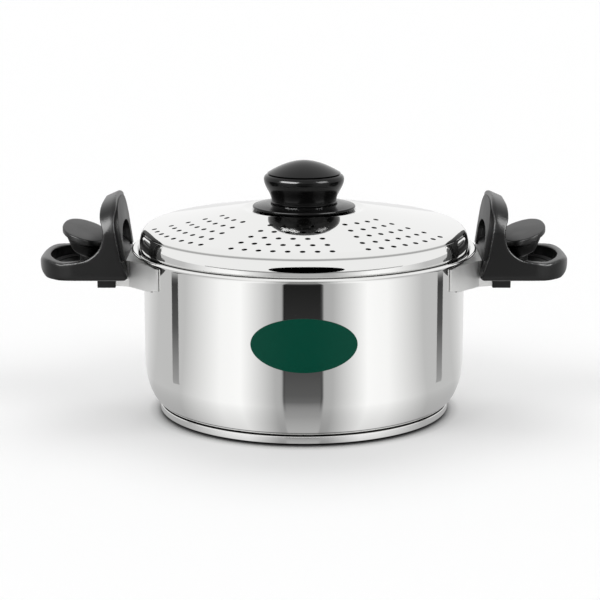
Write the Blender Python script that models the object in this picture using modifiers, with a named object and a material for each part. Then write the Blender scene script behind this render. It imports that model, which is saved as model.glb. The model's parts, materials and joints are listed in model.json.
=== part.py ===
# Strainer pot: a steel casserole with a perforated lid and two lever handles
# that tip inward and hook over the lid. Metres, +Z up, base on Z = 0.
# The label is at -Y and the handles are at +X and -X.
import math

import bmesh
import bpy
from mathutils import Matrix, Vector

# General
GAP = 0.0003                  # clearance between pieces that touch
TURN_STEPS = 40               # facets round the pot and the lid
KNOB_STEPS = 32               # facets round the knob and its guard
SMALL_STEPS = 12              # facets round screws, washers and pins
SMOOTH_ANGLE = math.radians(35)

# Pot body, a drawn sheet
POT_RADIUS = 0.120            # outside of the straight wall
POT_HEIGHT = 0.124            # underside of the rim
POT_WALL = 0.001
FLARE_RADIUS = 0.0085         # outside of the flare under the rim
FLARE_END = math.radians(96)
FLARE_STEPS = 4
RIM_CURL = 0.0004             # inside radius of the turned-down lip
CORNER_WIDTH = 0.020          # rounded corner between floor and wall
CORNER_HEIGHT = 0.0352

# Base: an aluminium disc in a steel cap
BASE_INSET = 0.011            # base rim inside the wall line
BASE_SHEET = 0.0008
BASE_EDGE_ROUND = 0.0025
BASE_CORE_THICKNESS = 0.0034

# Oval sticker on the front of the wall
LABEL_WIDTH = 0.0760
LABEL_HEIGHT = 0.0387
LABEL_SHEET = 0.0003
LABEL_CENTRE_Z = 0.0762

# Lid, a spun sheet with a rolled hem that sits in the flare
LID_SHEET = 0.0008
LID_OVERHANG = 0.0032         # lid side beyond the pot wall
LID_BEAD_RADIUS = 0.0013
LID_SIDE_HEIGHT = 0.0076
LID_SHOULDER_ROUND = 0.0095
LID_SLOPE = math.radians(10.3)
DIMPLE_RADIUS = 0.041         # flat seat for the knob
DIMPLE_BLEND = 0.005
DIMPLE_DEPTH = 0.0012

# Strainer holes in three groups of concentric rows
HOLE_DIAMETER = 0.0041
HOLE_SIDES = 6
HOLE_GROUPS = 3
HOLE_GROUP_STEP = math.radians(50.3)
HOLE_GROUP_CENTRE = math.radians(-8.4)
HOLE_ROWS = 5
HOLES_IN_OUTER_ROW = 8
HOLE_OUTER_ROW_RADIUS = 0.1129
HOLE_ROW_PITCH = 0.0124
HOLE_SPACING = 0.0104

# Knob, its guard disc and the screw that holds them
KNOB_RADIUS = 0.030
KNOB_NECK_RADIUS = 0.0243
KNOB_FOOT_HEIGHT = 0.0015
KNOB_BULGE_HEIGHT = 0.0178
KNOB_SHOULDER_HEIGHT = 0.0037
KNOB_CROWN_RADIUS = 0.0272
KNOB_CROWN_HEIGHT = 0.0093
KNOB_CREASE_DEPTH = 0.0017
KNOB_CREASE_WIDTH = 0.0007
GUARD_RADIUS = 0.0384
GUARD_THICKNESS = 0.0046
GUARD_EDGE = 0.0019
GUARD_FALL = 0.0017
GUARD_FOOT_RADIUS = 0.030
KNOB_SCREW_RADIUS = 0.0025
KNOB_SCREW_HEAD_RADIUS = 0.0048
KNOB_SCREW_HEAD_HEIGHT = 0.0026
KNOB_SCREW_GRIP = 0.013       # thread inside the insert
WASHER_RADIUS = 0.0075
WASHER_THICKNESS = 0.001
INSERT_WALL = 0.0022
INSERT_HEIGHT = 0.015

# Handle bracket, a folded sheet funnel welded to the wall. Each drop and rise,
# here and for the handle, is measured from the pot's height.
BRACKET_SHEET = 0.0012
BRACKET_DROP = 0.0258
BRACKET_HEIGHT = 0.0196
BRACKET_MOUTH_HALF = 0.0409   # half width where it leaves the wall
BRACKET_MOUTH_OUT = -0.0045   # from the wall line, along X
BRACKET_NECK_HALF = 0.024
BRACKET_NECK_OUT = 0.0095
BRACKET_END_HALF = 0.017
BRACKET_END_OUT = 0.0305
BRACKET_REACH = 0.008         # blank inside the wall line, before it is trimmed
FLANGE_HALF = 0.058
FLANGE_CUT = 0.0035           # sloped lower corner of each flange

# Hinge of the lock frame
PIVOT_OUT = 0.023             # from the wall line, along X
PIVOT_DROP = 0.0115
PIN_RADIUS = 0.002
PIN_DEPTH = 0.010             # pin length inside the lock frame
PIN_ROOT = 0.006              # pin length inside the core

# Lock frame: upright arch and ring in one L-shaped moulding
FRAME_HALF = 0.045
FRAME_DROP = 0.0179
FRAME_ROUND = 0.004           # lower edges
RING_END_OUT = 0.0768         # outer end of the ring
RING_BEND_OUT = 0.046         # where its rounded end begins
RING_POWER = 2.4              # roundness of the ring's end in plan
RING_WIDTH = 0.0074
RING_LEDGE_WIDTH = 0.003
RING_LEDGE_HEIGHT = 0.005
RING_LEDGE_INSET = 0.001      # ledge opening beyond the recess, pot side
RING_TOP_DROP = 0.0063
UPRIGHT_BACK_OUT = 0.0268     # back of the upright at its neck
UPRIGHT_BULGE = 0.0028        # its back below the top, beyond the neck
UPRIGHT_BULGE_DROP = 0.0085
UPRIGHT_CORNER_OUT = 0.0288   # rounded top edge at the back
UPRIGHT_CORNER_DROP = 0.0043
UPRIGHT_TOP_OUT = 0.0260
UPRIGHT_TOP_DROP = 0.0021
CROWN_OUT = 0.0198            # highest line of the upright
CROWN_FRONT_OUT = 0.0180
CROWN_ROUND = 0.0020
LEG_FOOT_OUT = 0.0088         # pot side of the legs
LEG_CHAMFER = 0.0025
LEG_MID_OUT = 0.0140
LEG_MID_DROP = 0.0010
FRONT_OUT = 0.0182
FRONT_RISE = 0.0260
WEB_OUT = 0.0343              # crest of the sides behind the upright
WEB_RISE = 0.0009
RING_REST_OUT = 0.0550
RING_REST_RISE = 0.0018
RING_END_DROP = 0.0003
RING_HEEL = 0.0045            # rounded lower edge of the ring's end
NECK_RISE = 0.0145
ARCH_TOP_RISE = 0.0406
ARCH_SPRING_RISE = 0.0100
ARCH_POWER = 2.9
ARCH_FALL = 0.45              # slope of the crest down to the back
PANEL_HALF = 0.040            # raised face that meets the lid
PANEL_FOOT_DROP = 0.0035
PANEL_OUT = 0.0112            # at the panel's foot
PANEL_LEAN = math.atan(0.14)
PANEL_TOP_RISE = 0.0385
PANEL_THICKNESS = 0.0055
WINDOW_HALF = 0.029
WINDOW_TOP_RISE = 0.0195
WINDOW_SPRING_RISE = 0.0075
WINDOW_POWER = 2.2
WINDOW_REACH = 0.0308         # depth of the window cut, from the wall line
SIDE_PLAY = 0.0006            # each side, core to lock frame

# Handle core: block on the bracket, stem, thumb pad and tab
CORE_FRONT_OUT = 0.0115
CORE_SILL_OUT = 0.0135
CORE_SILL_RISE = 0.0057       # above the bracket
CORE_RAMP_RISE = 0.0065
CORE_RAMP_OUT = 0.0235
CORE_BACK_OUT = 0.036
CORE_DROP = 0.0200
CORE_BACK_DROP = 0.008        # back of the block below its top
CORE_TOP_WIDTH = 0.003
CORE_EDGE = 0.001             # small bevel on its edges
TAB_FRONT_OUT = 0.020
TAB_BACK_OUT = 0.0335
TAB_HALF = 0.0215
TAB_DROP = 0.0274
TAB_OVERLAP = 0.002           # tab inside the block
PAD_HALF = 0.036
PAD_TIP_OUT = 0.0598
PAD_PLAY = 0.0008             # rest gap to the back of the upright
PAD_TILT = math.atan(0.325)
PAD_TOP_RISE = 0.0130
PAD_RIM = 0.004
PAD_ROUND = 0.0008
PAD_CROWN = 0.0006
PAD_BODY_INSET = 0.003
PAD_BODY_DEPTH = 0.0135       # down to the flat underside
PAD_BODY_TAPER = 0.003
PAD_POWER = 2.35
STEM_HALF = 0.022
STEM_LENGTH = 0.020
STEM_FOOT = 0.004             # stem's underside above the block's
STEM_NECK = 0.003             # stem's top below the pad's underside

# Shape of every screw head, as shares of its size
HEAD_DOME = 0.8
HEAD_FLAT = 0.4

# Handle screw, its washer and the nut welded in the bracket
SCREW_OUT = 0.025
SCREW_RADIUS = 0.002
SCREW_HEAD_RADIUS = 0.0035
SCREW_HEAD_HEIGHT = 0.0018
SCREW_WASHER_THICKNESS = 0.0006
NUT_HALF_FLATS = 0.0035
NUT_HEIGHT = 0.0032
SCREW_TIP = 0.0015            # beyond the nut

# Sizes that follow from the ones above
BASE_RADIUS = POT_RADIUS - BASE_INSET
BRACKET_BOTTOM = POT_HEIGHT - BRACKET_DROP
PIVOT_Z = POT_HEIGHT - PIVOT_DROP
FRAME_BOTTOM = POT_HEIGHT - FRAME_DROP
RING_TOP = POT_HEIGHT - RING_TOP_DROP
LEG_MID_Z = POT_HEIGHT - LEG_MID_DROP
FRONT_Z = POT_HEIGHT + FRONT_RISE
WEB_Z = POT_HEIGHT + WEB_RISE
NECK_Z = POT_HEIGHT + NECK_RISE
ARCH_TOP = POT_HEIGHT + ARCH_TOP_RISE
ARCH_SPRING = POT_HEIGHT + ARCH_SPRING_RISE
PANEL_FOOT = POT_HEIGHT - PANEL_FOOT_DROP
PANEL_TOP = POT_HEIGHT + PANEL_TOP_RISE
WINDOW_TOP = POT_HEIGHT + WINDOW_TOP_RISE
WINDOW_SPRING = POT_HEIGHT + WINDOW_SPRING_RISE
CORE_RAMP_TOP = POT_HEIGHT + CORE_RAMP_RISE
CORE_BOTTOM = POT_HEIGHT - CORE_DROP
TAB_BOTTOM = POT_HEIGHT - TAB_DROP
PAD_CENTRE_TOP = POT_HEIGHT + PAD_TOP_RISE
FLOOR_Z = BASE_SHEET + GAP + BASE_CORE_THICKNESS + GAP
FLARE_CENTRE = (POT_RADIUS + FLARE_RADIUS, POT_HEIGHT - FLARE_RADIUS)
LID_SIDE_RADIUS = POT_RADIUS + LID_OVERHANG
BEAD_CENTRE_RADIUS = LID_SIDE_RADIUS - LID_BEAD_RADIUS
BEAD_REACH = FLARE_RADIUS + POT_WALL + GAP + LID_BEAD_RADIUS
BEAD_DROP = FLARE_CENTRE[0] - BEAD_CENTRE_RADIUS
LID_SEAT_Z = FLARE_CENTRE[1] + math.sqrt(BEAD_REACH ** 2 - BEAD_DROP ** 2)
SHOULDER_CENTRE = (LID_SIDE_RADIUS - LID_SHOULDER_ROUND, LID_SEAT_Z + LID_SIDE_HEIGHT)
DIMPLE_EDGE_RADIUS = DIMPLE_RADIUS + DIMPLE_BLEND
BRACKET_TOP = BRACKET_BOTTOM + BRACKET_HEIGHT
CORE_HALF = WINDOW_HALF - SIDE_PLAY
PIVOT = Vector((POT_RADIUS + PIVOT_OUT, 0, PIVOT_Z))
SCREW_X = POT_RADIUS + SCREW_OUT


def clear_scene():
    for obj in list(bpy.data.objects):
        bpy.data.objects.remove(obj)


def new_collection(name):
    collection = bpy.data.collections.new(name)
    bpy.context.scene.collection.children.link(collection)
    return collection


clear_scene()
parts = new_collection("strainer_pot")
cutters = new_collection("cutters")


# Materials
def material(name, color, roughness, metallic):
    result = bpy.data.materials.new(name)
    result.use_nodes = True
    shader = result.node_tree.nodes["Principled BSDF"]
    shader.inputs["Base Color"].default_value = (*color, 1)
    shader.inputs["Roughness"].default_value = roughness
    shader.inputs["Metallic"].default_value = metallic
    return result


def steel(name):
    return material(name, (0.80, 0.80, 0.79), 0.10, 1.0)


def bakelite(name):
    return material(name, (0.018, 0.018, 0.019), 0.36, 0.0)


def hardware(name):
    return material(name, (0.62, 0.62, 0.61), 0.28, 1.0)


# Object helpers
def link(name, mesh, collection):
    obj = bpy.data.objects.new(name, mesh)
    collection.objects.link(obj)
    return obj


def empty(name, location=(0, 0, 0), turn=0.0):
    obj = link(name, None, parts)
    obj.location = location
    obj.rotation_euler = (0, 0, turn)
    return obj


def smooth(mesh):
    mesh.shade_smooth()
    mesh.set_sharp_from_angle(angle=SMOOTH_ANGLE)


def dress(obj, surface, parent=None):
    obj.data.materials.clear()
    obj.data.materials.append(surface)
    if parent:
        obj.parent = parent
    return obj


def hide_cutter(obj):
    for owner in list(obj.users_collection):
        owner.objects.unlink(obj)
    cutters.objects.link(obj)
    obj.hide_render = True
    obj.display_type = "WIRE"
    return obj


def boolean(obj, tool, operation):
    step = obj.modifiers.new(operation.lower(), "BOOLEAN")
    step.operation = operation
    step.solver = "EXACT"
    step.object = hide_cutter(tool)


def solid_mesh(obj):
    bpy.context.view_layer.update()
    graph = bpy.context.evaluated_depsgraph_get()
    mesh = bpy.data.meshes.new_from_object(obj.evaluated_get(graph))
    mesh.transform(obj.matrix_world)
    bpy.data.objects.remove(obj)
    return mesh


def turned(name, profile, steps, wall=0.0):
    # The profile runs down the outer side; a wall makes it a sheet.
    mesh = bpy.data.meshes.new(name)
    points = [(radius, 0, height) for radius, height in profile]
    edges = [(i, i + 1) for i in range(len(points) - 1)]
    mesh.from_pydata(points, edges, [])
    obj = link(name, mesh, parts)
    screw = obj.modifiers.new("turn", "SCREW")
    screw.axis = "Z"
    screw.angle = math.tau
    screw.steps = steps
    screw.render_steps = steps
    screw.use_merge_vertices = True
    screw.merge_threshold = 0.00001
    screw.use_smooth_shade = True
    if wall:
        shell = obj.modifiers.new("sheet", "SOLIDIFY")
        shell.thickness = wall
        shell.offset = -1
        shell.use_even_offset = True
    return obj


def tube_profile(inner, outer, low, high):
    corners = [(inner, high), (outer, high), (outer, low), (inner, low)]
    return corners + corners[:1]


def rod(name, radius, low, high, steps=SMALL_STEPS):
    # An upright cylinder on the Z axis from low to high.
    mesh = bpy.data.meshes.new(name)
    build = bmesh.new()
    lift = Matrix.Translation((0, 0, (low + high) / 2))
    bmesh.ops.create_cone(build, cap_ends=True, segments=steps, radius1=radius,
                          radius2=radius, depth=high - low, matrix=lift)
    build.to_mesh(mesh)
    build.free()
    return link(name, mesh, parts)


def box(name, low, high):
    mesh = bpy.data.meshes.new(name)
    build = bmesh.new()
    bmesh.ops.create_cube(build, size=1)
    size = Vector(high) - Vector(low)
    bmesh.ops.scale(build, vec=size, verts=build.verts)
    bmesh.ops.translate(build, vec=(Vector(low) + Vector(high)) / 2, verts=build.verts)
    build.to_mesh(mesh)
    build.free()
    return link(name, mesh, parts)


TURN_TO_PLANE = {
    "XY": (0, 0, 0),
    "XZ": (math.pi / 2, 0, 0),
    "YZ": (math.pi / 2, 0, math.pi / 2),
}
PLANE_NORMAL = {
    "XY": Vector((0, 0, 1)),
    "XZ": Vector((0, -1, 0)),
    "YZ": Vector((1, 0, 0)),
}


def prism(name, outline, plane, low, high, rounded=()):
    # A flat outline in the named plane, made solid from low to high.
    curve = bpy.data.curves.new(name, "CURVE")
    curve.dimensions = "2D"
    curve.fill_mode = "BOTH"
    curve.extrude = (high - low) / 2
    curve.resolution_u = 4
    kind = "BEZIER" if rounded else "POLY"
    spline = curve.splines.new(kind)
    spline.use_cyclic_u = True
    points = spline.bezier_points if rounded else spline.points
    points.add(len(outline) - 1)
    for i, (u, v) in enumerate(outline):
        if rounded:
            grip = "AUTO" if i in rounded else "VECTOR"
            points[i].co = (u, v, 0)
            points[i].handle_left_type = grip
            points[i].handle_right_type = grip
        else:
            points[i].co = (u, v, 0, 1)
    source = link(name + "_outline", curve, parts)
    source.rotation_euler = TURN_TO_PLANE[plane]
    middle = (low + high) / 2
    source.location = middle * PLANE_NORMAL[plane]
    mesh = solid_mesh(source)
    build = bmesh.new()
    build.from_mesh(mesh)
    bmesh.ops.remove_doubles(build, verts=build.verts, dist=0.00001)
    bmesh.ops.recalc_face_normals(build, faces=build.faces)
    build.to_mesh(mesh)
    build.free()
    return link(name, mesh, parts)


def arc(centre, radius, start, end, count):
    # Points on an arc, from angle start to angle end.
    turns = [start + (end - start) * i / count for i in range(count + 1)]
    return [(centre[0] + radius * math.cos(t), centre[1] + radius * math.sin(t)) for t in turns]


def super_point(turn, power):
    # A point on a rounded square of half size 1; power 2 is a circle.
    c = math.cos(turn)
    s = math.sin(turn)
    x = math.copysign(abs(c) ** (2 / power), c)
    y = math.copysign(abs(s) ** (2 / power), s)
    return x, y


# Pot body
def corner_height(radius):
    # Height of the outside of the pot's lower corner at a radius.
    share = (radius - (POT_RADIUS - CORNER_WIDTH)) / CORNER_WIDTH
    return FLOOR_Z + CORNER_HEIGHT * (1 - math.sqrt(1 - share ** 2))


def pot_profile():
    curl_centre = (FLARE_CENTRE[0] + (FLARE_RADIUS - RIM_CURL) * math.cos(FLARE_END),
                   FLARE_CENTRE[1] + (FLARE_RADIUS - RIM_CURL) * math.sin(FLARE_END))
    lip = arc(curl_centre, RIM_CURL, 0, FLARE_END, 2)
    flare = arc(FLARE_CENTRE, FLARE_RADIUS, FLARE_END, math.pi, FLARE_STEPS)
    corner = []
    corner_steps = 6
    for i in range(corner_steps + 1):
        turn = math.pi / 2 * i / corner_steps
        radius = POT_RADIUS - CORNER_WIDTH * (1 - math.cos(turn))
        corner.append((radius, FLOOR_Z + CORNER_HEIGHT * (1 - math.sin(turn))))
    return lip + flare[1:] + corner + [(0, FLOOR_Z)]


pot_body = turned("pot_body", pot_profile(), TURN_STEPS, wall=POT_WALL)
dress(pot_body, steel("pot_steel"))


# Base cap and core
def cap_profile():
    inner = BASE_RADIUS - BASE_SHEET
    top = corner_height(inner) - GAP
    edge = arc((BASE_RADIUS - BASE_EDGE_ROUND, BASE_EDGE_ROUND), BASE_EDGE_ROUND,
               0, -math.pi / 2, 2)
    return [(BASE_RADIUS, top)] + edge + [(0, 0)]


base_cap = turned("base_cap", cap_profile(), TURN_STEPS, wall=BASE_SHEET)
dress(base_cap, steel("base_steel"))

base_core = rod("base_core", BASE_RADIUS - BASE_EDGE_ROUND, 0, BASE_CORE_THICKNESS, TURN_STEPS)
base_core.location.z = BASE_SHEET + GAP
dress(base_core, material("base_aluminium", (0.72, 0.73, 0.74), 0.35, 1.0))


# Sticker, a thin oval cut from a ring round the wall
def oval(half_width, half_height, centre, count):
    turns = [math.tau * i / count for i in range(count)]
    return [(half_width * math.cos(t), centre + half_height * math.sin(t)) for t in turns]


label_inside = POT_RADIUS + GAP
label_ring = tube_profile(label_inside, label_inside + LABEL_SHEET,
                          LABEL_CENTRE_Z - LABEL_HEIGHT, LABEL_CENTRE_Z + LABEL_HEIGHT)
label_sticker = turned("label_sticker", label_ring, TURN_STEPS)
label_shape = prism("label_shape", oval(LABEL_WIDTH / 2, LABEL_HEIGHT / 2, LABEL_CENTRE_Z, 32),
                    "YZ", 0, 2 * POT_RADIUS)
label_shape.rotation_euler.z = -math.pi / 2
boolean(label_sticker, label_shape, "INTERSECT")
dress(label_sticker, material("label_green", (0.0, 0.10, 0.055), 0.35, 0.0))

# Lid and all that lifts with it
lid_seat = empty("lid_seat", (0, 0, LID_SEAT_Z))


def cone_height(radius):
    # Height of the lid's sloping top above the seat.
    rise = LID_SIDE_HEIGHT + LID_SHOULDER_ROUND / math.cos(LID_SLOPE)
    return rise - (radius - SHOULDER_CENTRE[0]) * math.tan(LID_SLOPE)


DIMPLE_TOP = cone_height(DIMPLE_EDGE_RADIUS) - DIMPLE_DEPTH
KNOB_HOLE_RADIUS = KNOB_SCREW_RADIUS + GAP


def lid_profile():
    shoulder_centre = (SHOULDER_CENTRE[0], LID_SIDE_HEIGHT)
    shoulder = arc(shoulder_centre, LID_SHOULDER_ROUND, math.pi / 2 - LID_SLOPE, 0, 4)
    bead = arc((BEAD_CENTRE_RADIUS, 0), LID_BEAD_RADIUS, 0, -math.pi, 4)
    middle = [(KNOB_HOLE_RADIUS, DIMPLE_TOP), (DIMPLE_RADIUS, DIMPLE_TOP),
              (DIMPLE_EDGE_RADIUS, cone_height(DIMPLE_EDGE_RADIUS))]
    return middle + shoulder + bead


def hole_places():
    places = []
    for group in range(HOLE_GROUPS):
        centre = HOLE_GROUP_CENTRE + HOLE_GROUP_STEP * (group - (HOLE_GROUPS - 1) / 2)
        for row in range(HOLE_ROWS):
            radius = HOLE_OUTER_ROW_RADIUS - HOLE_ROW_PITCH * row
            count = HOLES_IN_OUTER_ROW - row
            for i in range(count):
                along = (i - (count - 1) / 2) * HOLE_SPACING
                places.append((radius, centre + along / radius))
    return places


def hole_punches():
    mesh = bpy.data.meshes.new("hole_punches")
    build = bmesh.new()
    for radius, azimuth in hole_places():
        place = (Matrix.Rotation(azimuth - math.pi / 2, 4, "Z")
                 @ Matrix.Translation((radius, 0, cone_height(radius)))
                 @ Matrix.Rotation(LID_SLOPE, 4, "Y"))
        bmesh.ops.create_cone(build, cap_ends=True, segments=HOLE_SIDES,
                              radius1=HOLE_DIAMETER / 2, radius2=HOLE_DIAMETER / 2,
                              depth=8 * LID_SHEET, matrix=place)
    build.to_mesh(mesh)
    build.free()
    return link("hole_punches", mesh, parts)


lid_shell = turned("lid_shell", lid_profile(), TURN_STEPS, wall=LID_SHEET)
punches = hole_punches()
punches.parent = lid_seat
boolean(lid_shell, punches, "DIFFERENCE")
dress(lid_shell, steel("lid_steel"), lid_seat)


# Guard disc and knob stand on the lid's seat
GUARD_SEAT = DIMPLE_TOP + GAP
KNOB_SEAT = GUARD_SEAT + GUARD_THICKNESS + GAP


def guard_profile():
    edge_top = GUARD_THICKNESS - GUARD_FALL
    edge_low = edge_top - GUARD_EDGE
    edge = arc((GUARD_RADIUS - GUARD_EDGE / 2, edge_low + GUARD_EDGE / 2), GUARD_EDGE / 2,
               math.pi / 2, -math.pi / 2, 2)
    outer = [(KNOB_HOLE_RADIUS, GUARD_THICKNESS), (KNOB_NECK_RADIUS, GUARD_THICKNESS)]
    foot = [(GUARD_FOOT_RADIUS, edge_low), (GUARD_FOOT_RADIUS, 0), (KNOB_HOLE_RADIUS, 0)]
    return outer + edge + foot + outer[:1]


knob_guard = turned("knob_guard", guard_profile(), KNOB_STEPS)
knob_guard.location.z = GUARD_SEAT
dress(knob_guard, bakelite("guard_bakelite"), lid_seat)

INSERT_RADIUS = KNOB_SCREW_RADIUS + GAP + INSERT_WALL
CROWN_BASE = KNOB_BULGE_HEIGHT + KNOB_SHOULDER_HEIGHT + KNOB_CREASE_WIDTH


def knob_profile():
    crown = []
    crown_steps = 5
    for i in range(crown_steps + 1):
        share = i / crown_steps
        height = CROWN_BASE + KNOB_CROWN_HEIGHT * (1 - share ** 1.8)
        crown.append((KNOB_CROWN_RADIUS * share, height))
    crease_radius = KNOB_CROWN_RADIUS - KNOB_CREASE_DEPTH
    shoulder = []
    shoulder_steps = 3
    for i in range(shoulder_steps + 1):
        turn = math.pi / 2 * (1 - i / shoulder_steps)
        radius = crease_radius + (KNOB_RADIUS - crease_radius) * math.cos(turn)
        shoulder.append((radius, KNOB_BULGE_HEIGHT + KNOB_SHOULDER_HEIGHT * math.sin(turn)))
    flank = []
    flank_steps = 5
    for i in range(1, flank_steps + 1):
        share = i / flank_steps
        swell = (KNOB_RADIUS - KNOB_NECK_RADIUS) * (1 + math.cos(math.pi * share)) / 2
        radius = KNOB_NECK_RADIUS + swell
        flank.append((radius, KNOB_BULGE_HEIGHT + (KNOB_FOOT_HEIGHT - KNOB_BULGE_HEIGHT) * share))
    socket = INSERT_RADIUS + GAP
    socket_top = INSERT_HEIGHT + GAP
    under = [(KNOB_NECK_RADIUS, 0), (socket, 0), (socket, socket_top), (0, socket_top)]
    return crown + shoulder + flank + under


knob = turned("knob", knob_profile(), KNOB_STEPS)
knob.location.z = KNOB_SEAT
dress(knob, bakelite("knob_bakelite"), lid_seat)

knob_insert = turned("knob_insert", tube_profile(KNOB_HOLE_RADIUS, INSERT_RADIUS, 0, INSERT_HEIGHT),
                     SMALL_STEPS)
knob_insert.location.z = KNOB_SEAT
dress(knob_insert, material("insert_brass", (0.70, 0.52, 0.24), 0.3, 1.0), lid_seat)

WASHER_TOP = DIMPLE_TOP - LID_SHEET - GAP
knob_washer = turned("knob_washer", tube_profile(KNOB_HOLE_RADIUS, WASHER_RADIUS,
                                                 -WASHER_THICKNESS, 0), SMALL_STEPS)
knob_washer.location.z = WASHER_TOP
dress(knob_washer, hardware("washer_steel"), lid_seat)


def screw_profile(shank, length, head, head_height):
    # Shank up from the head's seat at zero, domed head below it.
    rim = head_height / 3
    return [(0, length), (shank, length), (shank, 0), (head, 0), (head, -rim),
            (head * HEAD_DOME, -head_height * HEAD_DOME), (head * HEAD_FLAT, -head_height),
            (0, -head_height)]


SCREW_SEAT = WASHER_TOP - WASHER_THICKNESS - GAP
KNOB_SCREW_LENGTH = KNOB_SEAT + KNOB_SCREW_GRIP - SCREW_SEAT
knob_screw = turned("knob_screw", screw_profile(KNOB_SCREW_RADIUS, KNOB_SCREW_LENGTH,
                                                KNOB_SCREW_HEAD_RADIUS, KNOB_SCREW_HEAD_HEIGHT),
                    SMALL_STEPS)
knob_screw.location.z = SCREW_SEAT
dress(knob_screw, hardware("knob_screw_steel"), lid_seat)


# Bracket
def funnel_outline(inset, start, end_inset):
    # Plan of the funnel, drawn in by inset, from X = start outward.
    mouth = (POT_RADIUS + BRACKET_MOUTH_OUT, BRACKET_MOUTH_HALF)
    neck = (POT_RADIUS + BRACKET_NECK_OUT, BRACKET_NECK_HALF)
    end = (POT_RADIUS + BRACKET_END_OUT, BRACKET_END_HALF)
    slope = (neck[1] - mouth[1]) / (neck[0] - mouth[0])
    slope_out = (end[1] - neck[1]) / (end[0] - neck[0])
    inset_in = inset * math.hypot(1, slope)
    inset_out = inset * math.hypot(1, slope_out)
    half = [(start, mouth[1] + slope * (start - mouth[0]) - inset_in),
            (neck[0], neck[1] - (inset_in + inset_out) / 2),
            (end[0] - end_inset, end[1] - slope_out * end_inset - inset_out)]
    return half + [(x, -y) for x, y in reversed(half)]


def wall_clearance():
    # The pot's outside with a gap, for what is fitted to its wall.
    flare = arc(FLARE_CENTRE, FLARE_RADIUS - GAP, FLARE_END, math.pi, FLARE_STEPS)
    return [(0, flare[0][1])] + flare + [(POT_RADIUS + GAP, 0), (0, 0)]


def bracket_mesh():
    wall = POT_RADIUS + GAP
    shell = prism("bracket", funnel_outline(0, POT_RADIUS - BRACKET_REACH, 0), "XY",
                  BRACKET_BOTTOM, BRACKET_TOP)
    flange = turned("flange", tube_profile(wall, wall + BRACKET_SHEET, BRACKET_BOTTOM, BRACKET_TOP),
                    TURN_STEPS)
    low = BRACKET_BOTTOM + FLANGE_CUT
    outline = [(-FLANGE_HALF, low), (-BRACKET_MOUTH_HALF, BRACKET_BOTTOM),
               (BRACKET_MOUTH_HALF, BRACKET_BOTTOM), (FLANGE_HALF, low),
               (FLANGE_HALF, BRACKET_TOP), (-FLANGE_HALF, BRACKET_TOP)]
    boolean(flange, prism("flange_shape", outline, "YZ", 0, 2 * POT_RADIUS), "INTERSECT")
    boolean(shell, link("flange_sheet", solid_mesh(flange), parts), "UNION")
    hollow = prism("bracket_hollow", funnel_outline(BRACKET_SHEET, POT_RADIUS - 3 * BRACKET_REACH,
                                                     BRACKET_SHEET), "XY",
                   BRACKET_BOTTOM + BRACKET_SHEET, BRACKET_TOP - BRACKET_SHEET)
    boolean(shell, hollow, "DIFFERENCE")
    boolean(shell, turned("wall_cut", wall_clearance(), TURN_STEPS), "DIFFERENCE")
    screw_hole = rod("bracket_hole", SCREW_RADIUS + GAP, BRACKET_BOTTOM - GAP,
                     BRACKET_BOTTOM + 2 * BRACKET_SHEET)
    screw_hole.location.x = SCREW_X
    boolean(shell, screw_hole, "DIFFERENCE")
    return solid_mesh(shell)


# Lock frame
def arch_outline(half, spring, top, foot, power, count):
    points = [(-half, foot)]
    for i in range(count + 1):
        x, y = super_point(math.pi * (1 - i / count), power)
        points.append((half * x, spring + (top - spring) * y))
    points.append((half, foot))
    return points


def ring_outline(start, bend, end, half, count):
    points = [(start, -half)]
    for i in range(count + 1):
        x, y = super_point(math.pi * (i / count - 0.5), RING_POWER)
        points.append((bend + (end - bend) * x, half * y))
    points.append((start, half))
    return points


def frame_side():
    # Side view of the L: up the pot side, over the top, down the back.
    wall = POT_RADIUS
    back = wall + UPRIGHT_BACK_OUT
    end = wall + RING_END_OUT
    return [
        (wall + LEG_FOOT_OUT + LEG_CHAMFER, FRAME_BOTTOM),
        (wall + LEG_FOOT_OUT, FRAME_BOTTOM + LEG_CHAMFER),
        (wall + LEG_MID_OUT, LEG_MID_Z),
        (wall + FRONT_OUT, FRONT_Z),
        (wall + CROWN_FRONT_OUT, ARCH_TOP - CROWN_ROUND),
        (wall + CROWN_OUT, ARCH_TOP),
        (wall + UPRIGHT_TOP_OUT, ARCH_TOP - UPRIGHT_TOP_DROP),
        (wall + UPRIGHT_CORNER_OUT, ARCH_TOP - UPRIGHT_CORNER_DROP),
        (back + UPRIGHT_BULGE, ARCH_TOP - UPRIGHT_BULGE_DROP),
        (back, NECK_Z),
        (wall + WEB_OUT, WEB_Z),
        (wall + RING_REST_OUT, RING_TOP + RING_REST_RISE),
        (end, RING_TOP - RING_END_DROP),
        (end - RING_HEEL / 5, FRAME_BOTTOM + RING_HEEL),
        (end - 1.5 * RING_HEEL, FRAME_BOTTOM),
    ]


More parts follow.
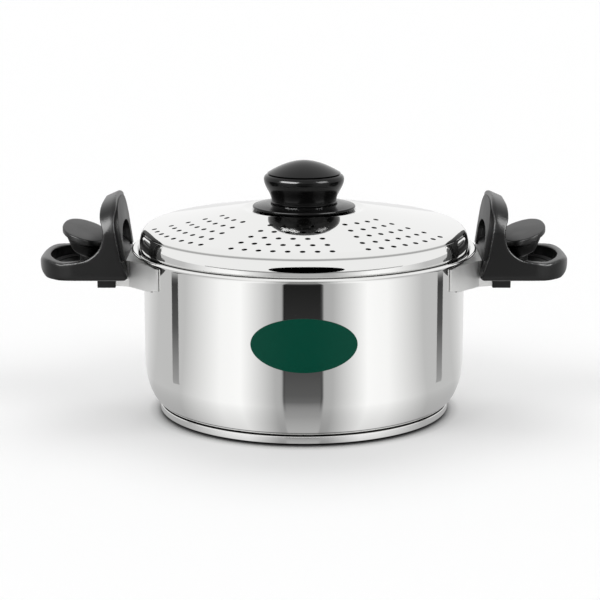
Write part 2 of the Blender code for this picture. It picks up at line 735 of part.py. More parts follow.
def lock_frame_mesh():
    wall = POT_RADIUS
    side_half = FRAME_HALF + FRAME_ROUND
    frame = prism("frame", frame_side(), "XZ", -side_half, side_half, rounded=range(3, 14))
    arch = arch_outline(FRAME_HALF, ARCH_SPRING, ARCH_TOP, FRAME_BOTTOM, ARCH_POWER, 16)[1:-1]
    centre = (FRAME_HALF - FRAME_ROUND, FRAME_BOTTOM + FRAME_ROUND)
    corner = arc(centre, FRAME_ROUND, 0, -math.pi / 2, 3)
    front = arch + corner + [(-y, z) for y, z in reversed(corner)]
    boolean(frame, prism("arch_shape", front, "YZ", 0, wall + 2 * RING_END_OUT), "INTERSECT")
    fall = prism("arch_fall", arch_outline(FRAME_HALF + GAP, ARCH_SPRING, ARCH_TOP, 0, ARCH_POWER,
                                           16), "YZ", 0, wall + 2 * RING_END_OUT)
    slant = Matrix.Identity(4)
    slant[2][0] = -ARCH_FALL
    crest = Vector((wall + CROWN_OUT, 0, 0))
    fall.data.transform(Matrix.Translation(crest) @ slant @ Matrix.Translation(-crest))
    boolean(frame, fall, "INTERSECT")
    plan = ring_outline(0, wall + RING_BEND_OUT, wall + RING_END_OUT + GAP, FRAME_HALF + GAP, 14)
    boolean(frame, prism("ring_shape", plan, "XY", 0, 2 * ARCH_TOP), "INTERSECT")

    panel = prism("panel", arch_outline(PANEL_HALF, ARCH_SPRING, PANEL_TOP, PANEL_FOOT,
                                        ARCH_POWER, 14), "YZ", 0, PANEL_THICKNESS)
    lean = Matrix.Rotation(PANEL_LEAN, 4, "Y")
    foot = Matrix.Translation((wall + PANEL_OUT, 0, PANEL_FOOT))
    panel.data.transform(foot @ lean @ Matrix.Translation((0, 0, -PANEL_FOOT)))
    boolean(frame, panel, "UNION")

    window = arch_outline(WINDOW_HALF, WINDOW_SPRING, WINDOW_TOP, 0, WINDOW_POWER, 12)
    boolean(frame, prism("window_shape", window, "YZ", 0, wall + WINDOW_REACH),
            "DIFFERENCE")
    hole_end = wall + RING_END_OUT - RING_WIDTH
    opening = ring_outline(wall + UPRIGHT_BACK_OUT, wall + RING_BEND_OUT, hole_end,
                           FRAME_HALF - RING_WIDTH, 12)
    boolean(frame, prism("ring_hole", opening, "XY", FRAME_BOTTOM + RING_LEDGE_HEIGHT, NECK_Z),
            "DIFFERENCE")
    throat = ring_outline(wall + UPRIGHT_BACK_OUT - RING_LEDGE_INSET, wall + RING_BEND_OUT,
                          hole_end - RING_LEDGE_WIDTH,
                          FRAME_HALF - RING_WIDTH - RING_LEDGE_WIDTH, 12)
    boolean(frame, prism("ring_throat", throat, "XY", 0, FRAME_BOTTOM + 2 * RING_LEDGE_HEIGHT),
            "DIFFERENCE")
    reach = WINDOW_HALF + PIN_DEPTH + GAP
    boolean(frame, across("socket_cut", PIN_RADIUS + GAP, reach), "DIFFERENCE")
    mesh = solid_mesh(frame)
    mesh.transform(Matrix.Translation(-PIVOT))
    return mesh


def across(name, radius, half_length):
    # A cylinder along Y through the pivot.
    bar = rod(name, radius, -half_length, half_length)
    bar.data.transform(Matrix.Translation(PIVOT) @ Matrix.Rotation(math.pi / 2, 4, "X"))
    return bar


# Handle core
def pad_sections():
    # Rings from the stem's foot up to the pad's top, each as
    # (centre X, centre Z, half length, half width, tilt).
    inner = POT_RADIUS + UPRIGHT_BACK_OUT + PAD_PLAY
    tip = POT_RADIUS + PAD_TIP_OUT
    centre = (inner + tip) / 2
    length = (tip - inner) / 2
    body_length = length - PAD_BODY_INSET
    body_half = PAD_HALF - PAD_BODY_INSET
    low_length = body_length - PAD_BODY_TAPER
    low_half = body_half - PAD_BODY_TAPER
    stem = inner + STEM_LENGTH / 2
    top = PAD_CENTRE_TOP
    below = top - PAD_BODY_DEPTH - (centre - stem) * math.tan(PAD_TILT)
    return [
        (stem, CORE_BOTTOM + STEM_FOOT, STEM_LENGTH / 2, STEM_HALF, 0),
        (stem, below - STEM_NECK, STEM_LENGTH / 2, STEM_HALF, PAD_TILT),
        (centre, top - PAD_BODY_DEPTH, low_length, low_half, PAD_TILT),
        (centre, top - PAD_RIM, body_length, body_half, PAD_TILT),
        (centre, top - PAD_RIM, length, PAD_HALF, PAD_TILT),
        (centre, top - PAD_ROUND, length, PAD_HALF, PAD_TILT),
        (centre, top, length - PAD_ROUND, PAD_HALF - PAD_ROUND, PAD_TILT),
    ]


def pad_and_stem():
    build = bmesh.new()
    count = 24
    rings = []
    for x, z, length, half, tilt in pad_sections():
        ring = []
        for i in range(count):
            u, v = super_point(math.tau * i / count, PAD_POWER)
            lift = u * length * math.tan(tilt)
            ring.append(build.verts.new((x + u * length, v * half, z + lift)))
        rings.append(ring)
    for low, high in zip(rings, rings[1:]):
        for i in range(count):
            j = (i + 1) % count
            build.faces.new((low[i], low[j], high[j], high[i]))
    build.faces.new(list(reversed(rings[0])))
    x, z = pad_sections()[-1][:2]
    crown = build.verts.new((x, 0, z + PAD_CROWN))
    for i in range(count):
        build.faces.new((rings[-1][i], rings[-1][(i + 1) % count], crown))
    mesh = bpy.data.meshes.new("pad")
    build.to_mesh(mesh)
    build.free()
    return link("pad", mesh, parts)


def core_mesh():
    wall = POT_RADIUS
    sill = BRACKET_TOP + CORE_SILL_RISE
    side = [(wall + CORE_FRONT_OUT, CORE_BOTTOM), (wall + CORE_BACK_OUT, CORE_BOTTOM),
            (wall + CORE_BACK_OUT, CORE_RAMP_TOP - CORE_BACK_DROP),
            (wall + CORE_RAMP_OUT + CORE_TOP_WIDTH, CORE_RAMP_TOP),
            (wall + CORE_RAMP_OUT, CORE_RAMP_TOP), (wall + CORE_SILL_OUT, sill),
            (wall + CORE_FRONT_OUT, BRACKET_TOP)]
    core = prism("core", side, "XZ", -CORE_HALF, CORE_HALF)
    edges = core.modifiers.new("edges", "BEVEL")
    edges.width = CORE_EDGE
    edges.segments = 1
    edges.limit_method = "ANGLE"
    edges.angle_limit = math.radians(60)
    tab = box("tab", (wall + TAB_FRONT_OUT, -TAB_HALF, TAB_BOTTOM),
              (wall + TAB_BACK_OUT, TAB_HALF, CORE_BOTTOM + TAB_OVERLAP))
    boolean(core, tab, "UNION")
    boolean(core, pad_and_stem(), "UNION")
    slot = prism("bracket_slot", funnel_outline(-GAP, POT_RADIUS, -GAP), "XY",
                 BRACKET_BOTTOM - GAP, BRACKET_TOP + GAP)
    boolean(core, slot, "DIFFERENCE")
    for side_sign in (-1, 1):
        bore = rod("pin_bore", PIN_RADIUS + GAP, CORE_HALF - PIN_ROOT - GAP, CORE_HALF + SIDE_PLAY)
        bore.data.transform(Matrix.Translation(PIVOT)
                            @ Matrix.Rotation(-side_sign * math.pi / 2, 4, "X"))
        boolean(core, bore, "DIFFERENCE")
    shank = rod("shank_hole", SCREW_RADIUS + GAP, TAB_BOTTOM - GAP, BRACKET_BOTTOM)
    shank.location.x = SCREW_X
    boolean(core, shank, "DIFFERENCE")
    mesh = solid_mesh(core)
    mesh.transform(Matrix.Translation(-PIVOT))
    return mesh


HEAD_SEAT = TAB_BOTTOM - GAP - SCREW_WASHER_THICKNESS - GAP
NUT_SEAT = BRACKET_BOTTOM + BRACKET_SHEET + GAP
SCREW_LENGTH = NUT_SEAT + NUT_HEIGHT + SCREW_TIP - HEAD_SEAT


def pin_mesh(toward):
    # A short pin from a cheek of the core into the lock frame.
    low = CORE_HALF - PIN_ROOT
    high = WINDOW_HALF + PIN_DEPTH
    pin = rod("pin", PIN_RADIUS, low, high)
    pin.data.transform(Matrix.Rotation(-toward * math.pi / 2, 4, "X"))
    return solid_mesh(pin)


def nut_mesh():
    nut = rod("nut", NUT_HALF_FLATS / math.cos(math.pi / 6), 0, NUT_HEIGHT, 6)
    boolean(nut, rod("nut_bore", SCREW_RADIUS + GAP, -NUT_HEIGHT, 2 * NUT_HEIGHT), "DIFFERENCE")
    return solid_mesh(nut)


def turned_mesh(name, profile):
    return solid_mesh(turned(name, profile, SMALL_STEPS))


# Both handles share their meshes; the left one is turned half round
handle_kit = {
    "handle_bracket": (bracket_mesh(), (0, 0, 0), steel("bracket_steel")),
    "handle_core": (core_mesh(), PIVOT, bakelite("core_bakelite")),
    "bracket_nut": (nut_mesh(), (SCREW_X, 0, NUT_SEAT), hardware("nut_steel")),
    "handle_screw": (turned_mesh("screw", screw_profile(SCREW_RADIUS, SCREW_LENGTH,
                                                        SCREW_HEAD_RADIUS, SCREW_HEAD_HEIGHT)),
                     (SCREW_X, 0, HEAD_SEAT), hardware("screw_steel")),
    "screw_washer": (turned_mesh("washer", tube_profile(SCREW_RADIUS + GAP, SCREW_HEAD_RADIUS,
                                                        0, SCREW_WASHER_THICKNESS)),
                     (SCREW_X, 0, HEAD_SEAT + GAP), hardware("small_washer_steel")),
}
frame_mesh = lock_frame_mesh()
frame_surface = bakelite("frame_bakelite")
pin_surface = hardware("pin_steel")

for side_name, half_turn, facing in (("right", 0.0, 1), ("left", math.pi, -1)):
    seat = empty("handle_seat_" + side_name, turn=half_turn)
    for end_name, toward in (("front", -facing), ("rear", facing)):
        pin = link(f"pivot_pin_{end_name}_{side_name}", pin_mesh(toward), parts)
        pin.location = PIVOT
        dress(pin, pin_surface, seat)
    for piece, (mesh, place, surface) in handle_kit.items():
        piece_object = link(f"{piece}_{side_name}", mesh, parts)
        piece_object.location = place
        dress(piece_object, surface, seat)
    hinge = empty("lock_hinge_" + side_name, PIVOT)
    hinge.parent = seat
    dress(link("lock_frame_" + side_name, frame_mesh, parts), frame_surface, hinge)

for part_object in parts.objects:
    if part_object.type == "MESH" and part_object.data.polygons:
        smooth(part_object.data)
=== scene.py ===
# Strainer pot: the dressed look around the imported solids.
# Metres, +Z up, the label at -Y and the two lever handles at +X and -X.
import json
import math

import bmesh
import bpy
from mathutils import Matrix, Vector

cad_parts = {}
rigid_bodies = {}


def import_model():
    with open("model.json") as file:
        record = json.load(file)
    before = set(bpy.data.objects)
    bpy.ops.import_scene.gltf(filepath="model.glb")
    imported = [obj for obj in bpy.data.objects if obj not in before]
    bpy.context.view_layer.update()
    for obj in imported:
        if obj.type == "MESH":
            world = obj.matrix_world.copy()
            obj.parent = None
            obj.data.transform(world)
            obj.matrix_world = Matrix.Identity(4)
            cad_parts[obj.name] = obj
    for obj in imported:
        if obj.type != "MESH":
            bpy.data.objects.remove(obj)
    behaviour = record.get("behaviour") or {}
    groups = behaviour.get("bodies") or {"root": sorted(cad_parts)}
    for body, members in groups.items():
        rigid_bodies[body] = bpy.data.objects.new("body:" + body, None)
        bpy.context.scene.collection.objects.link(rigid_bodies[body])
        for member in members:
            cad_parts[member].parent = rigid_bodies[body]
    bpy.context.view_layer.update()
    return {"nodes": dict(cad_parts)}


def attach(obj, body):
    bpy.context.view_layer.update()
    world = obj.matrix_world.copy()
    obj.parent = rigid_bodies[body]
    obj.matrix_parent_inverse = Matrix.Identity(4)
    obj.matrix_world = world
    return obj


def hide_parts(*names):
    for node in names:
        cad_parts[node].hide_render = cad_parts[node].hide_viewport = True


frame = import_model()
fitGap = 0.0003  # air between pieces that touch on the real pot
print("frame loaded:", len(frame["nodes"]), "nodes")


# small helpers: materials
def newMaterial(name, color, roughness, metallic=0.0, specular=0.5):
    surface = bpy.data.materials.new(name)
    surface.use_nodes = True
    shader = surface.node_tree.nodes["Principled BSDF"]
    shader.inputs["Base Color"].default_value = (*color, 1)
    shader.inputs["Roughness"].default_value = roughness
    shader.inputs["Metallic"].default_value = metallic
    shader.inputs["Specular IOR Level"].default_value = specular
    return surface


def bareMaterial(name):
    surface = bpy.data.materials.new(name)
    surface.use_nodes = True
    surface.node_tree.nodes.clear()
    return surface


def addNode(surface, kind, **settings):
    node = surface.node_tree.nodes.new(kind)
    for name, value in settings.items():
        setattr(node, name, value)
    return node


def wire(surface, source, target):
    surface.node_tree.links.new(source, target)


def feed(surface, kind, *values, **settings):
    # a node with its first inputs wired or set, in their order
    node = addNode(surface, kind, **settings)
    for socket, value in zip(node.inputs, values):
        if isinstance(value, bpy.types.NodeSocket):
            wire(surface, value, socket)
        else:
            socket.default_value = value
    return node.outputs[0]


def noise(surface, scale, detail=3.0, stretch=(1, 1, 1)):
    # noise in the piece's own coordinates, stretched to make scratches
    place = addNode(surface, "ShaderNodeTexCoord")
    mapping = addNode(surface, "ShaderNodeMapping")
    mapping.inputs["Scale"].default_value = stretch
    texture = addNode(surface, "ShaderNodeTexNoise")
    texture.inputs["Scale"].default_value = scale
    texture.inputs["Detail"].default_value = detail
    wire(surface, place.outputs["Object"], mapping.inputs["Vector"])
    wire(surface, mapping.outputs["Vector"], texture.inputs["Vector"])
    return texture.outputs["Fac"]


def bump(surface, value, distance, strength=1.0):
    relief = addNode(surface, "ShaderNodeBump")
    relief.inputs["Distance"].default_value = distance
    relief.inputs["Strength"].default_value = strength
    wire(surface, value, relief.inputs["Height"])
    wire(surface, relief.outputs["Normal"], shaderInput(surface, "Normal"))


def mathNode(surface, operation, *values):
    return feed(surface, "ShaderNodeMath", *values, operation=operation)


def times(surface, first, second):
    return mathNode(surface, "MULTIPLY", first, second)


def piecePlace(surface):
    # X, Y and Z in the piece's own coordinates
    place = addNode(surface, "ShaderNodeTexCoord")
    split = addNode(surface, "ShaderNodeSeparateXYZ")
    wire(surface, place.outputs["Object"], split.inputs[0])
    return split.outputs


def fromAxis(surface, x, y):
    squares = mathNode(surface, "ADD", times(surface, x, x), times(surface, y, y))
    return mathNode(surface, "SQRT", squares)


def greyRamp(surface, value, stops):
    # a grey ramp; stops are (place from 0 to 1, grey)
    ramp = addNode(surface, "ShaderNodeValToRGB")
    ramp.color_ramp.interpolation = "LINEAR"
    marks = ramp.color_ramp.elements
    while len(marks) < len(stops):
        marks.new(0.5)
    for mark, (place, grey) in zip(marks, stops):
        mark.position = place
        mark.color = (grey, grey, grey, 1)
    wire(surface, value, ramp.inputs["Fac"])
    return ramp.outputs["Color"]


def between(surface, value, start, end, low, high):
    # low up to the start, high from the end on
    return feed(surface, "ShaderNodeMapRange", value, start, end, low, high)


def paintedCreviceShade(surface, reach, stops):
    # painted shade: grey from ambient occlusion that falls in narrow gaps and corners
    shade = addNode(surface, "ShaderNodeAmbientOcclusion", samples=16)
    shade.inputs["Distance"].default_value = reach
    return greyRamp(surface, shade.outputs["AO"], stops)


def shaderInput(surface, name):
    return surface.node_tree.nodes["Principled BSDF"].inputs[name]


def roughen(surface, value, roughness, shares):
    # lets the roughness wander between two shares of itself
    wander = between(surface, value, 0, 1, roughness * shares[0], roughness * shares[1])
    wire(surface, wander, shaderInput(surface, "Roughness"))


def shaded(surface, color, grey):
    return feed(surface, "ShaderNodeVectorMath", color, grey, operation="MULTIPLY")


def glowing(surface, strength, brightness=1.0):
    glow = addNode(surface, "ShaderNodeEmission")
    glow.inputs["Color"].default_value = (brightness, brightness, brightness, 1)
    wire(surface, strength, glow.inputs["Strength"])
    return glow.outputs[0]


def showShader(surface, shader):
    output = addNode(surface, "ShaderNodeOutputMaterial")
    wire(surface, shader, output.inputs["Surface"])


# small helpers: meshes
def addObject(name, mesh):
    piece = bpy.data.objects.new(name, mesh)
    bpy.context.scene.collection.objects.link(piece)
    return piece


def meshFrom(build, name):
    mesh = bpy.data.meshes.new(name)
    build.to_mesh(mesh)
    build.free()
    return mesh


def bakeModifiers(piece):
    # leaves the piece as the mesh that its modifiers make
    bpy.context.view_layer.update()
    graph = bpy.context.evaluated_depsgraph_get()
    mesh = bpy.data.meshes.new_from_object(piece.evaluated_get(graph))
    mesh.transform(piece.matrix_world)
    name = piece.name
    bpy.data.objects.remove(piece)
    return addObject(name, mesh)


def finishPiece(piece, surface, body, nodes=(), sharpAngle=35):
    piece.data.materials.clear()
    piece.data.materials.append(surface)
    piece.data.shade_smooth()
    piece.data.set_sharp_from_angle(angle=math.radians(sharpAngle))
    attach(piece, body)
    if nodes:
        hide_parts(*nodes)


def arc(centre, radius, start, end, count):
    turns = [math.radians(start + (end - start) * i / count) for i in range(count + 1)]
    return [(centre[0] + radius * math.cos(t), centre[1] + radius * math.sin(t)) for t in turns]


def lathe(name, profile, steps, sheet=0.0):
    # turns a profile of (radius, height) points round the Z axis
    mesh = bpy.data.meshes.new(name)
    points = [(radius, 0, height) for radius, height in profile]
    mesh.from_pydata(points, [(i, i + 1) for i in range(len(points) - 1)], [])
    piece = addObject(name, mesh)
    turn = piece.modifiers.new("turn", "SCREW")
    turn.axis = "Z"
    turn.angle = math.tau
    turn.steps = steps
    turn.render_steps = steps
    turn.use_merge_vertices = True
    turn.merge_threshold = 0.000005
    turn.use_smooth_shade = True
    if sheet:
        shell = piece.modifiers.new("sheet", "SOLIDIFY")
        shell.thickness = sheet
        shell.offset = -1
        shell.use_even_offset = True
    return piece


planeTurn = {"XY": (0, 0, 0), "XZ": (math.pi / 2, 0, 0), "YZ": (math.pi / 2, 0, math.pi / 2)}
planeNormal = {"XY": Vector((0, 0, 1)), "XZ": Vector((0, -1, 0)), "YZ": Vector((1, 0, 0))}


def prism(name, outline, plane, low, high, rounded=(), resolution=10):
    # a flat outline in the named plane, made solid from low to high
    curve = bpy.data.curves.new(name, "CURVE")
    curve.dimensions = "2D"
    curve.fill_mode = "BOTH"
    curve.extrude = (high - low) / 2
    curve.resolution_u = resolution
    spline = curve.splines.new("BEZIER" if rounded else "POLY")
    spline.use_cyclic_u = True
    points = spline.bezier_points if rounded else spline.points
    points.add(len(outline) - 1)
    for i, (u, v) in enumerate(outline):
        if rounded:
            points[i].co = (u, v, 0)
            points[i].handle_left_type = "AUTO" if i in rounded else "VECTOR"
            points[i].handle_right_type = points[i].handle_left_type
        else:
            points[i].co = (u, v, 0, 1)
    source = addObject(name, curve)
    source.rotation_euler = planeTurn[plane]
    source.location = planeNormal[plane] * (low + high) / 2
    piece = bakeModifiers(source)
    build = bmesh.new()
    build.from_mesh(piece.data)
    bmesh.ops.remove_doubles(build, verts=build.verts, dist=0.00001)
    bmesh.ops.recalc_face_normals(build, faces=build.faces)
    build.to_mesh(piece.data)
    build.free()
    return piece


def combine(piece, tool, operation):
    step = piece.modifiers.new(operation.lower(), "BOOLEAN")
    step.operation = operation
    step.solver = "EXACT"
    step.object = tool
    done = bakeModifiers(piece)
    bpy.data.objects.remove(tool)
    return done


def roundEdges(piece, width, segments=3, angle=35):
    edge = piece.modifiers.new("edges", "BEVEL")
    edge.width = width
    edge.segments = segments
    edge.limit_method = "ANGLE"
    edge.angle_limit = math.radians(angle)
    return piece


def rod(name, radius, low, high, steps=24):
    return bakeModifiers(lathe(name, [(0, high), (radius, high), (radius, low), (0, low)], steps))


# materials
steelLook = {
    "color": (0.83, 0.83, 0.82), "roughness": 0.035, "smudge": 18.0, "smudgeSpread": (0.7, 1.5),
    "wave": 60.0, "waviness": 0.00001, "turnedLines": (40, 40, 2600),
    # reach and greys of the shade painted into the steel's gaps and corners
    "gapReach": 0.0045, "gapPaintedShade": [(0.32, 0.01), (0.68, 1.0)],
    "baseRoughness": 0.16, "baseRings": 0.00002, "baseGapReach": 0.0030,
    "bracketRoughness": 0.36, "bracketMetallic": 0.45,
}


def polishedSteel(name, roughness, rings=0.0, gapReach=steelLook["gapReach"]):
    surface = newMaterial(name, steelLook["color"], roughness, 1.0)
    roughen(surface, noise(surface, steelLook["smudge"], 4.0), roughness, steelLook["smudgeSpread"])
    if rings:
        # fine turned lines round the axis
        bump(surface, noise(surface, 1.0, 2.0, steelLook["turnedLines"]), rings)
    else:
        bump(surface, noise(surface, steelLook["wave"], 1.0), steelLook["waviness"])
    # painted shade: joints and corners between the sheets go dark in the colour, by ambient
    # occlusion
    shadedSteelColor = shaded(surface, steelLook["color"], paintedCreviceShade(surface, gapReach, steelLook["gapPaintedShade"]))
    wire(surface, shadedSteelColor, shaderInput(surface, "Base Color"))
    return surface


bakeliteLook = {
    "color": (0.004, 0.004, 0.004), "cloud": 45.0, "cloudSpread": (0.85, 1.2),
    "grain": 1900.0, "pits": 0.00005, "pitStrength": 0.5,
    # roughness and shine of each moulding
    "knob": (0.14, 0.21), "guard": (0.14, 0.15), "lever": (0.30, 0.27), "handle": (0.42, 0.27),
}


def blackBakelite(name, roughness, shine):
    surface = newMaterial(name, bakeliteLook["color"], roughness, 0.0, shine)
    roughen(surface, noise(surface, bakeliteLook["cloud"], 4.0), roughness,
            bakeliteLook["cloudSpread"])
    bump(surface, noise(surface, bakeliteLook["grain"], 2.0), bakeliteLook["pits"],
         bakeliteLook["pitStrength"])
    return surface


hardwareLook = {
    "wear": 300.0, "wearSpread": (0.8, 1.3), "turnedLines": (900, 900, 4000), "lineDepth": 0.000008,
    # colour and roughness of each metal
    "steel": ((0.62, 0.62, 0.61), 0.28), "brass": ((0.70, 0.52, 0.24), 0.3),
    "aluminium": ((0.72, 0.73, 0.74), 0.35),
}


def plainMetal(name, color, roughness):
    surface = newMaterial(name, color, roughness, 1.0)
    wear = noise(surface, hardwareLook["wear"], 3.0)
    roughen(surface, wear, roughness, hardwareLook["wearSpread"])
    bump(surface, noise(surface, 1.0, 2.0, hardwareLook["turnedLines"]), hardwareLook["lineDepth"])
    return surface


bodySteel = polishedSteel("body steel", steelLook["roughness"])
lidSteel = polishedSteel("lid steel", steelLook["roughness"])
baseSteel = polishedSteel("base steel", steelLook["baseRoughness"], steelLook["baseRings"],
                          steelLook["baseGapReach"])
bracketSteel = polishedSteel("bracket steel", steelLook["bracketRoughness"])
# half way to a plain pale surface: as full metal the brackets mirror the black levers
shaderInput(bracketSteel, "Metallic").default_value = steelLook["bracketMetallic"]
knobBlack = blackBakelite("knob bakelite", *bakeliteLook["knob"])
guardBlack = blackBakelite("guard bakelite", *bakeliteLook["guard"])
leverBlack = blackBakelite("lever bakelite", *bakeliteLook["lever"])
handleBlack = blackBakelite("handle bakelite", *bakeliteLook["handle"])
screwSteel = plainMetal("screw steel", *hardwareLook["steel"])
insertBrass = plainMetal("insert brass", *hardwareLook["brass"])
coreAluminium = plainMetal("base aluminium", *hardwareLook["aluminium"])
print("materials made")

# pot body
pot = {
    "radius": 0.120, "rimHeight": 0.124, "sheet": 0.001, "flare": 0.0085, "flareRise": 0.0046,
    "flareEnd": 97, "flareSteps": 22, "curl": 0.0004, "curlSteps": 4, "cornerWidth": 0.020,
    "cornerHeight": 0.0352, "cornerSteps": 28, "floor": 0.0048, "floorRing": 0.05, "steps": 256,
}
flareCentre = (pot["radius"] + pot["flare"], pot["rimHeight"] - pot["flareRise"])
flareSquash = pot["flareRise"] / pot["flare"]


def potProfile():
    end = math.radians(pot["flareEnd"])
    reach = pot["flare"] - pot["curl"]
    rise = pot["flareRise"] - pot["curl"]
    curlCentre = (flareCentre[0] + reach * math.cos(end), flareCentre[1] + rise * math.sin(end))
    lip = arc(curlCentre, pot["curl"], 0, pot["flareEnd"], pot["curlSteps"])
    flare = [(r, flareCentre[1] + (z - flareCentre[1]) * flareSquash)
             for r, z in arc(flareCentre, pot["flare"], pot["flareEnd"], 180, pot["flareSteps"])]
    corner = []
    for i in range(pot["cornerSteps"] + 1):
        turn = math.pi / 2 * i / pot["cornerSteps"]
        radius = pot["radius"] - pot["cornerWidth"] * (1 - math.cos(turn))
        corner.append((radius, pot["floor"] + pot["cornerHeight"] * (1 - math.sin(turn))))
    return lip + flare[1:] + corner + [(pot["floorRing"], pot["floor"]), (0, pot["floor"])]


potBody = bakeModifiers(lathe("potBody", potProfile(), pot["steps"], pot["sheet"]))
finishPiece(potBody, bodySteel, "pot", ["pot_body"])

# base cap with its pressed edge
base = {
    "radius": 0.109, "sheet": 0.0008, "edge": 0.0038, "edgeSteps": 8, "height": 0.0072,
    "lip": 0.0006, "lipStart": 80, "lipSteps": 4,
}


def capProfile():
    edgeCentre = (base["radius"] - base["edge"], base["edge"])
    edge = arc(edgeCentre, base["edge"], 0, -90, base["edgeSteps"])
    lip = arc((base["radius"] - base["lip"], base["height"] - base["lip"]), base["lip"],
              base["lipStart"], 0, base["lipSteps"])
    return lip + edge + [(0, 0)]


baseCap = bakeModifiers(lathe("baseCap", capProfile(), pot["steps"], base["sheet"]))
finishPiece(baseCap, baseSteel, "pot", ["base_cap"])
print("pot body and base made")

# oval sticker
sticker = {
    "width": 0.0760, "height": 0.0387, "centre": 0.0762, "lift": 0.0004, "sheet": 0.0002,
    "rings": [0.0, 0.25, 0.5, 0.7, 0.85], "border": 0.978, "points": 96,
    "green": (0.0, 0.060, 0.036), "pale": (0.50, 0.60, 0.57), "roughness": 0.3, "shine": 0.1,
    "cloud": 120.0, "cloudSpread": (0.8, 1.2), "grain": 900.0, "pits": 0.00001, "pitStrength": 0.4,
}


def stickerMesh():
    # ovals inside one another on the wall, with a thin cut edge
    shares = sticker["rings"] + [sticker["border"], 1.0]
    count = sticker["points"]
    build = bmesh.new()
    rings = []
    for share in shares + [1.0]:
        radius = pot["radius"] + (sticker["lift"] + sticker["sheet"] if len(rings) < len(shares)
                                  else sticker["lift"] / 4)
        if share == 0:
            rings.append([build.verts.new((0, -radius, sticker["centre"]))] * count)
            continue
        ring = []
        for i in range(count):
            turn = math.tau * i / count
            around = share * sticker["width"] / 2 * math.cos(turn) / pot["radius"]
            up = sticker["centre"] + share * sticker["height"] / 2 * math.sin(turn)
            spot = (radius * math.sin(around), -radius * math.cos(around), up)
            ring.append(build.verts.new(spot))
        rings.append(ring)
    for level, (inner, outer) in enumerate(zip(rings, rings[1:])):
        for i in range(count):
            j = (i + 1) % count
            corners = [inner[i], inner[j]] if level else [inner[0]]
            face = build.faces.new(corners + [outer[j], outer[i]])
            face.material_index = 1 if level >= shares.index(sticker["border"]) else 0
            face.smooth = True
    bmesh.ops.recalc_face_normals(build, faces=build.faces)
    return meshFrom(build, "sticker")


def printedFilm(name, color):
    surface = newMaterial(name, color, sticker["roughness"], 0.0, sticker["shine"])
    roughen(surface, noise(surface, sticker["cloud"], 3.0), sticker["roughness"],
            sticker["cloudSpread"])
    bump(surface, noise(surface, sticker["grain"], 2.0), sticker["pits"], sticker["pitStrength"])
    return surface


stickerPiece = addObject("stickerOval", stickerMesh())
finishPiece(stickerPiece, printedFilm("sticker green", sticker["green"]), "pot",
            ["label_sticker"])
stickerPiece.data.materials.append(printedFilm("sticker border", sticker["pale"]))
print("sticker made")

# lid shell with its strainer holes
lid = {
    "seat": 0.12442, "sheet": 0.0008, "side": 0.1232, "sideHeight": 0.0076, "sideSteps": 12,
    "round": 0.0095, "roundSteps": 56, "slope": 10.3, "bead": 0.0013, "beadSteps": 10,
    "hem": 0.0006, "lowerAngle": 15, "dimple": 0.041, "dimpleLead": 0.001, "blend": 0.005,
    "blendSteps": 8, "dimpleDepth": 0.0012, "screwHole": 0.0028, "steps": 192,
    # the dent's depth, angle and spread, then the grey and width of a dark reflection line painted
    # along it
    "crease": 0.00022, "creaseAngle": 34, "creaseSpan": 2.2, "creasePaintedShade": 0.42,
    "paintedCreaseLine": (0.0002, 0.0006),
    "coneRings": (48, 113, 4),  # first, end and step in millimetres
}
holes = {
    "diameter": 0.0041, "sides": 18, "groups": 3, "groupStep": 50.3, "centre": -8.4,
    "rows": 5, "outerRow": 8, "outerRadius": 0.1129, "pitch": 0.0124, "spacing": 0.0104,
    "punchDepth": 8 * lid["sheet"],
}
slope = math.radians(lid["slope"])
lowerAngle = math.radians(lid["lowerAngle"])
lowerRise = lid["sideHeight"] + lid["round"] * math.sin(lowerAngle) - lid["hem"]
lowerRound = lowerRise / math.sin(lowerAngle)
lowerInset = lowerRound * (1 - math.cos(lowerAngle))
shoulderRadius = lid["side"] - lowerInset - lid["round"] * math.cos(lowerAngle)


def coneHeight(radius):
    # the lid's sloping top, above the world's zero
    rise = lid["seat"] + lid["sideHeight"] + lid["round"] / math.cos(slope)
    return rise - (radius - shoulderRadius) * math.tan(slope)


dimpleEdge = lid["dimple"] + lid["blend"]
dimpleTop = coneHeight(dimpleEdge) - lid["dimpleDepth"]


def lidProfile():
    shoulder = []
    top = 90 - lid["slope"]
    centre = (shoulderRadius, lid["seat"] + lid["sideHeight"])
    for i in range(lid["roundSteps"] + 1):
        angle = top + (lid["lowerAngle"] - top) * i / lid["roundSteps"]
        dent = lid["crease"] * math.exp(-((angle - lid["creaseAngle"]) / lid["creaseSpan"]) ** 2)
        turn = math.radians(angle)
        reach = lid["round"] - dent
        shoulder.append((centre[0] + reach * math.cos(turn), centre[1] + reach * math.sin(turn)))
    side = []
    for i in range(1, lid["sideSteps"] + 1):
        turn = lowerAngle * (1 - i / lid["sideSteps"])
        side.append((lid["side"] - lowerRound * (1 - math.cos(turn)),
                     lid["seat"] + lid["hem"] + lowerRound * math.sin(turn)))
    beadCentre = (lid["side"] - lid["bead"], lid["seat"])
    bead = arc(beadCentre, lid["bead"], 0, -180, lid["beadSteps"])
    blendStart = lid["dimple"] - lid["dimpleLead"]
    middle = [(lid["screwHole"], dimpleTop), (blendStart, dimpleTop)]
    blend = []
    for i in range(1, lid["blendSteps"] + 1):
        share = i / lid["blendSteps"]
        smoothShare = share * share * (3 - 2 * share)
        radius = blendStart + (lid["blend"] + lid["dimpleLead"]) * share
        blend.append((radius, dimpleTop + (coneHeight(dimpleEdge) - dimpleTop) * smoothShare))
    slopeLine = [(radius / 1000, coneHeight(radius / 1000)) for radius in range(*lid["coneRings"])]
    return middle + blend + slopeLine + shoulder + side + bead[1:]


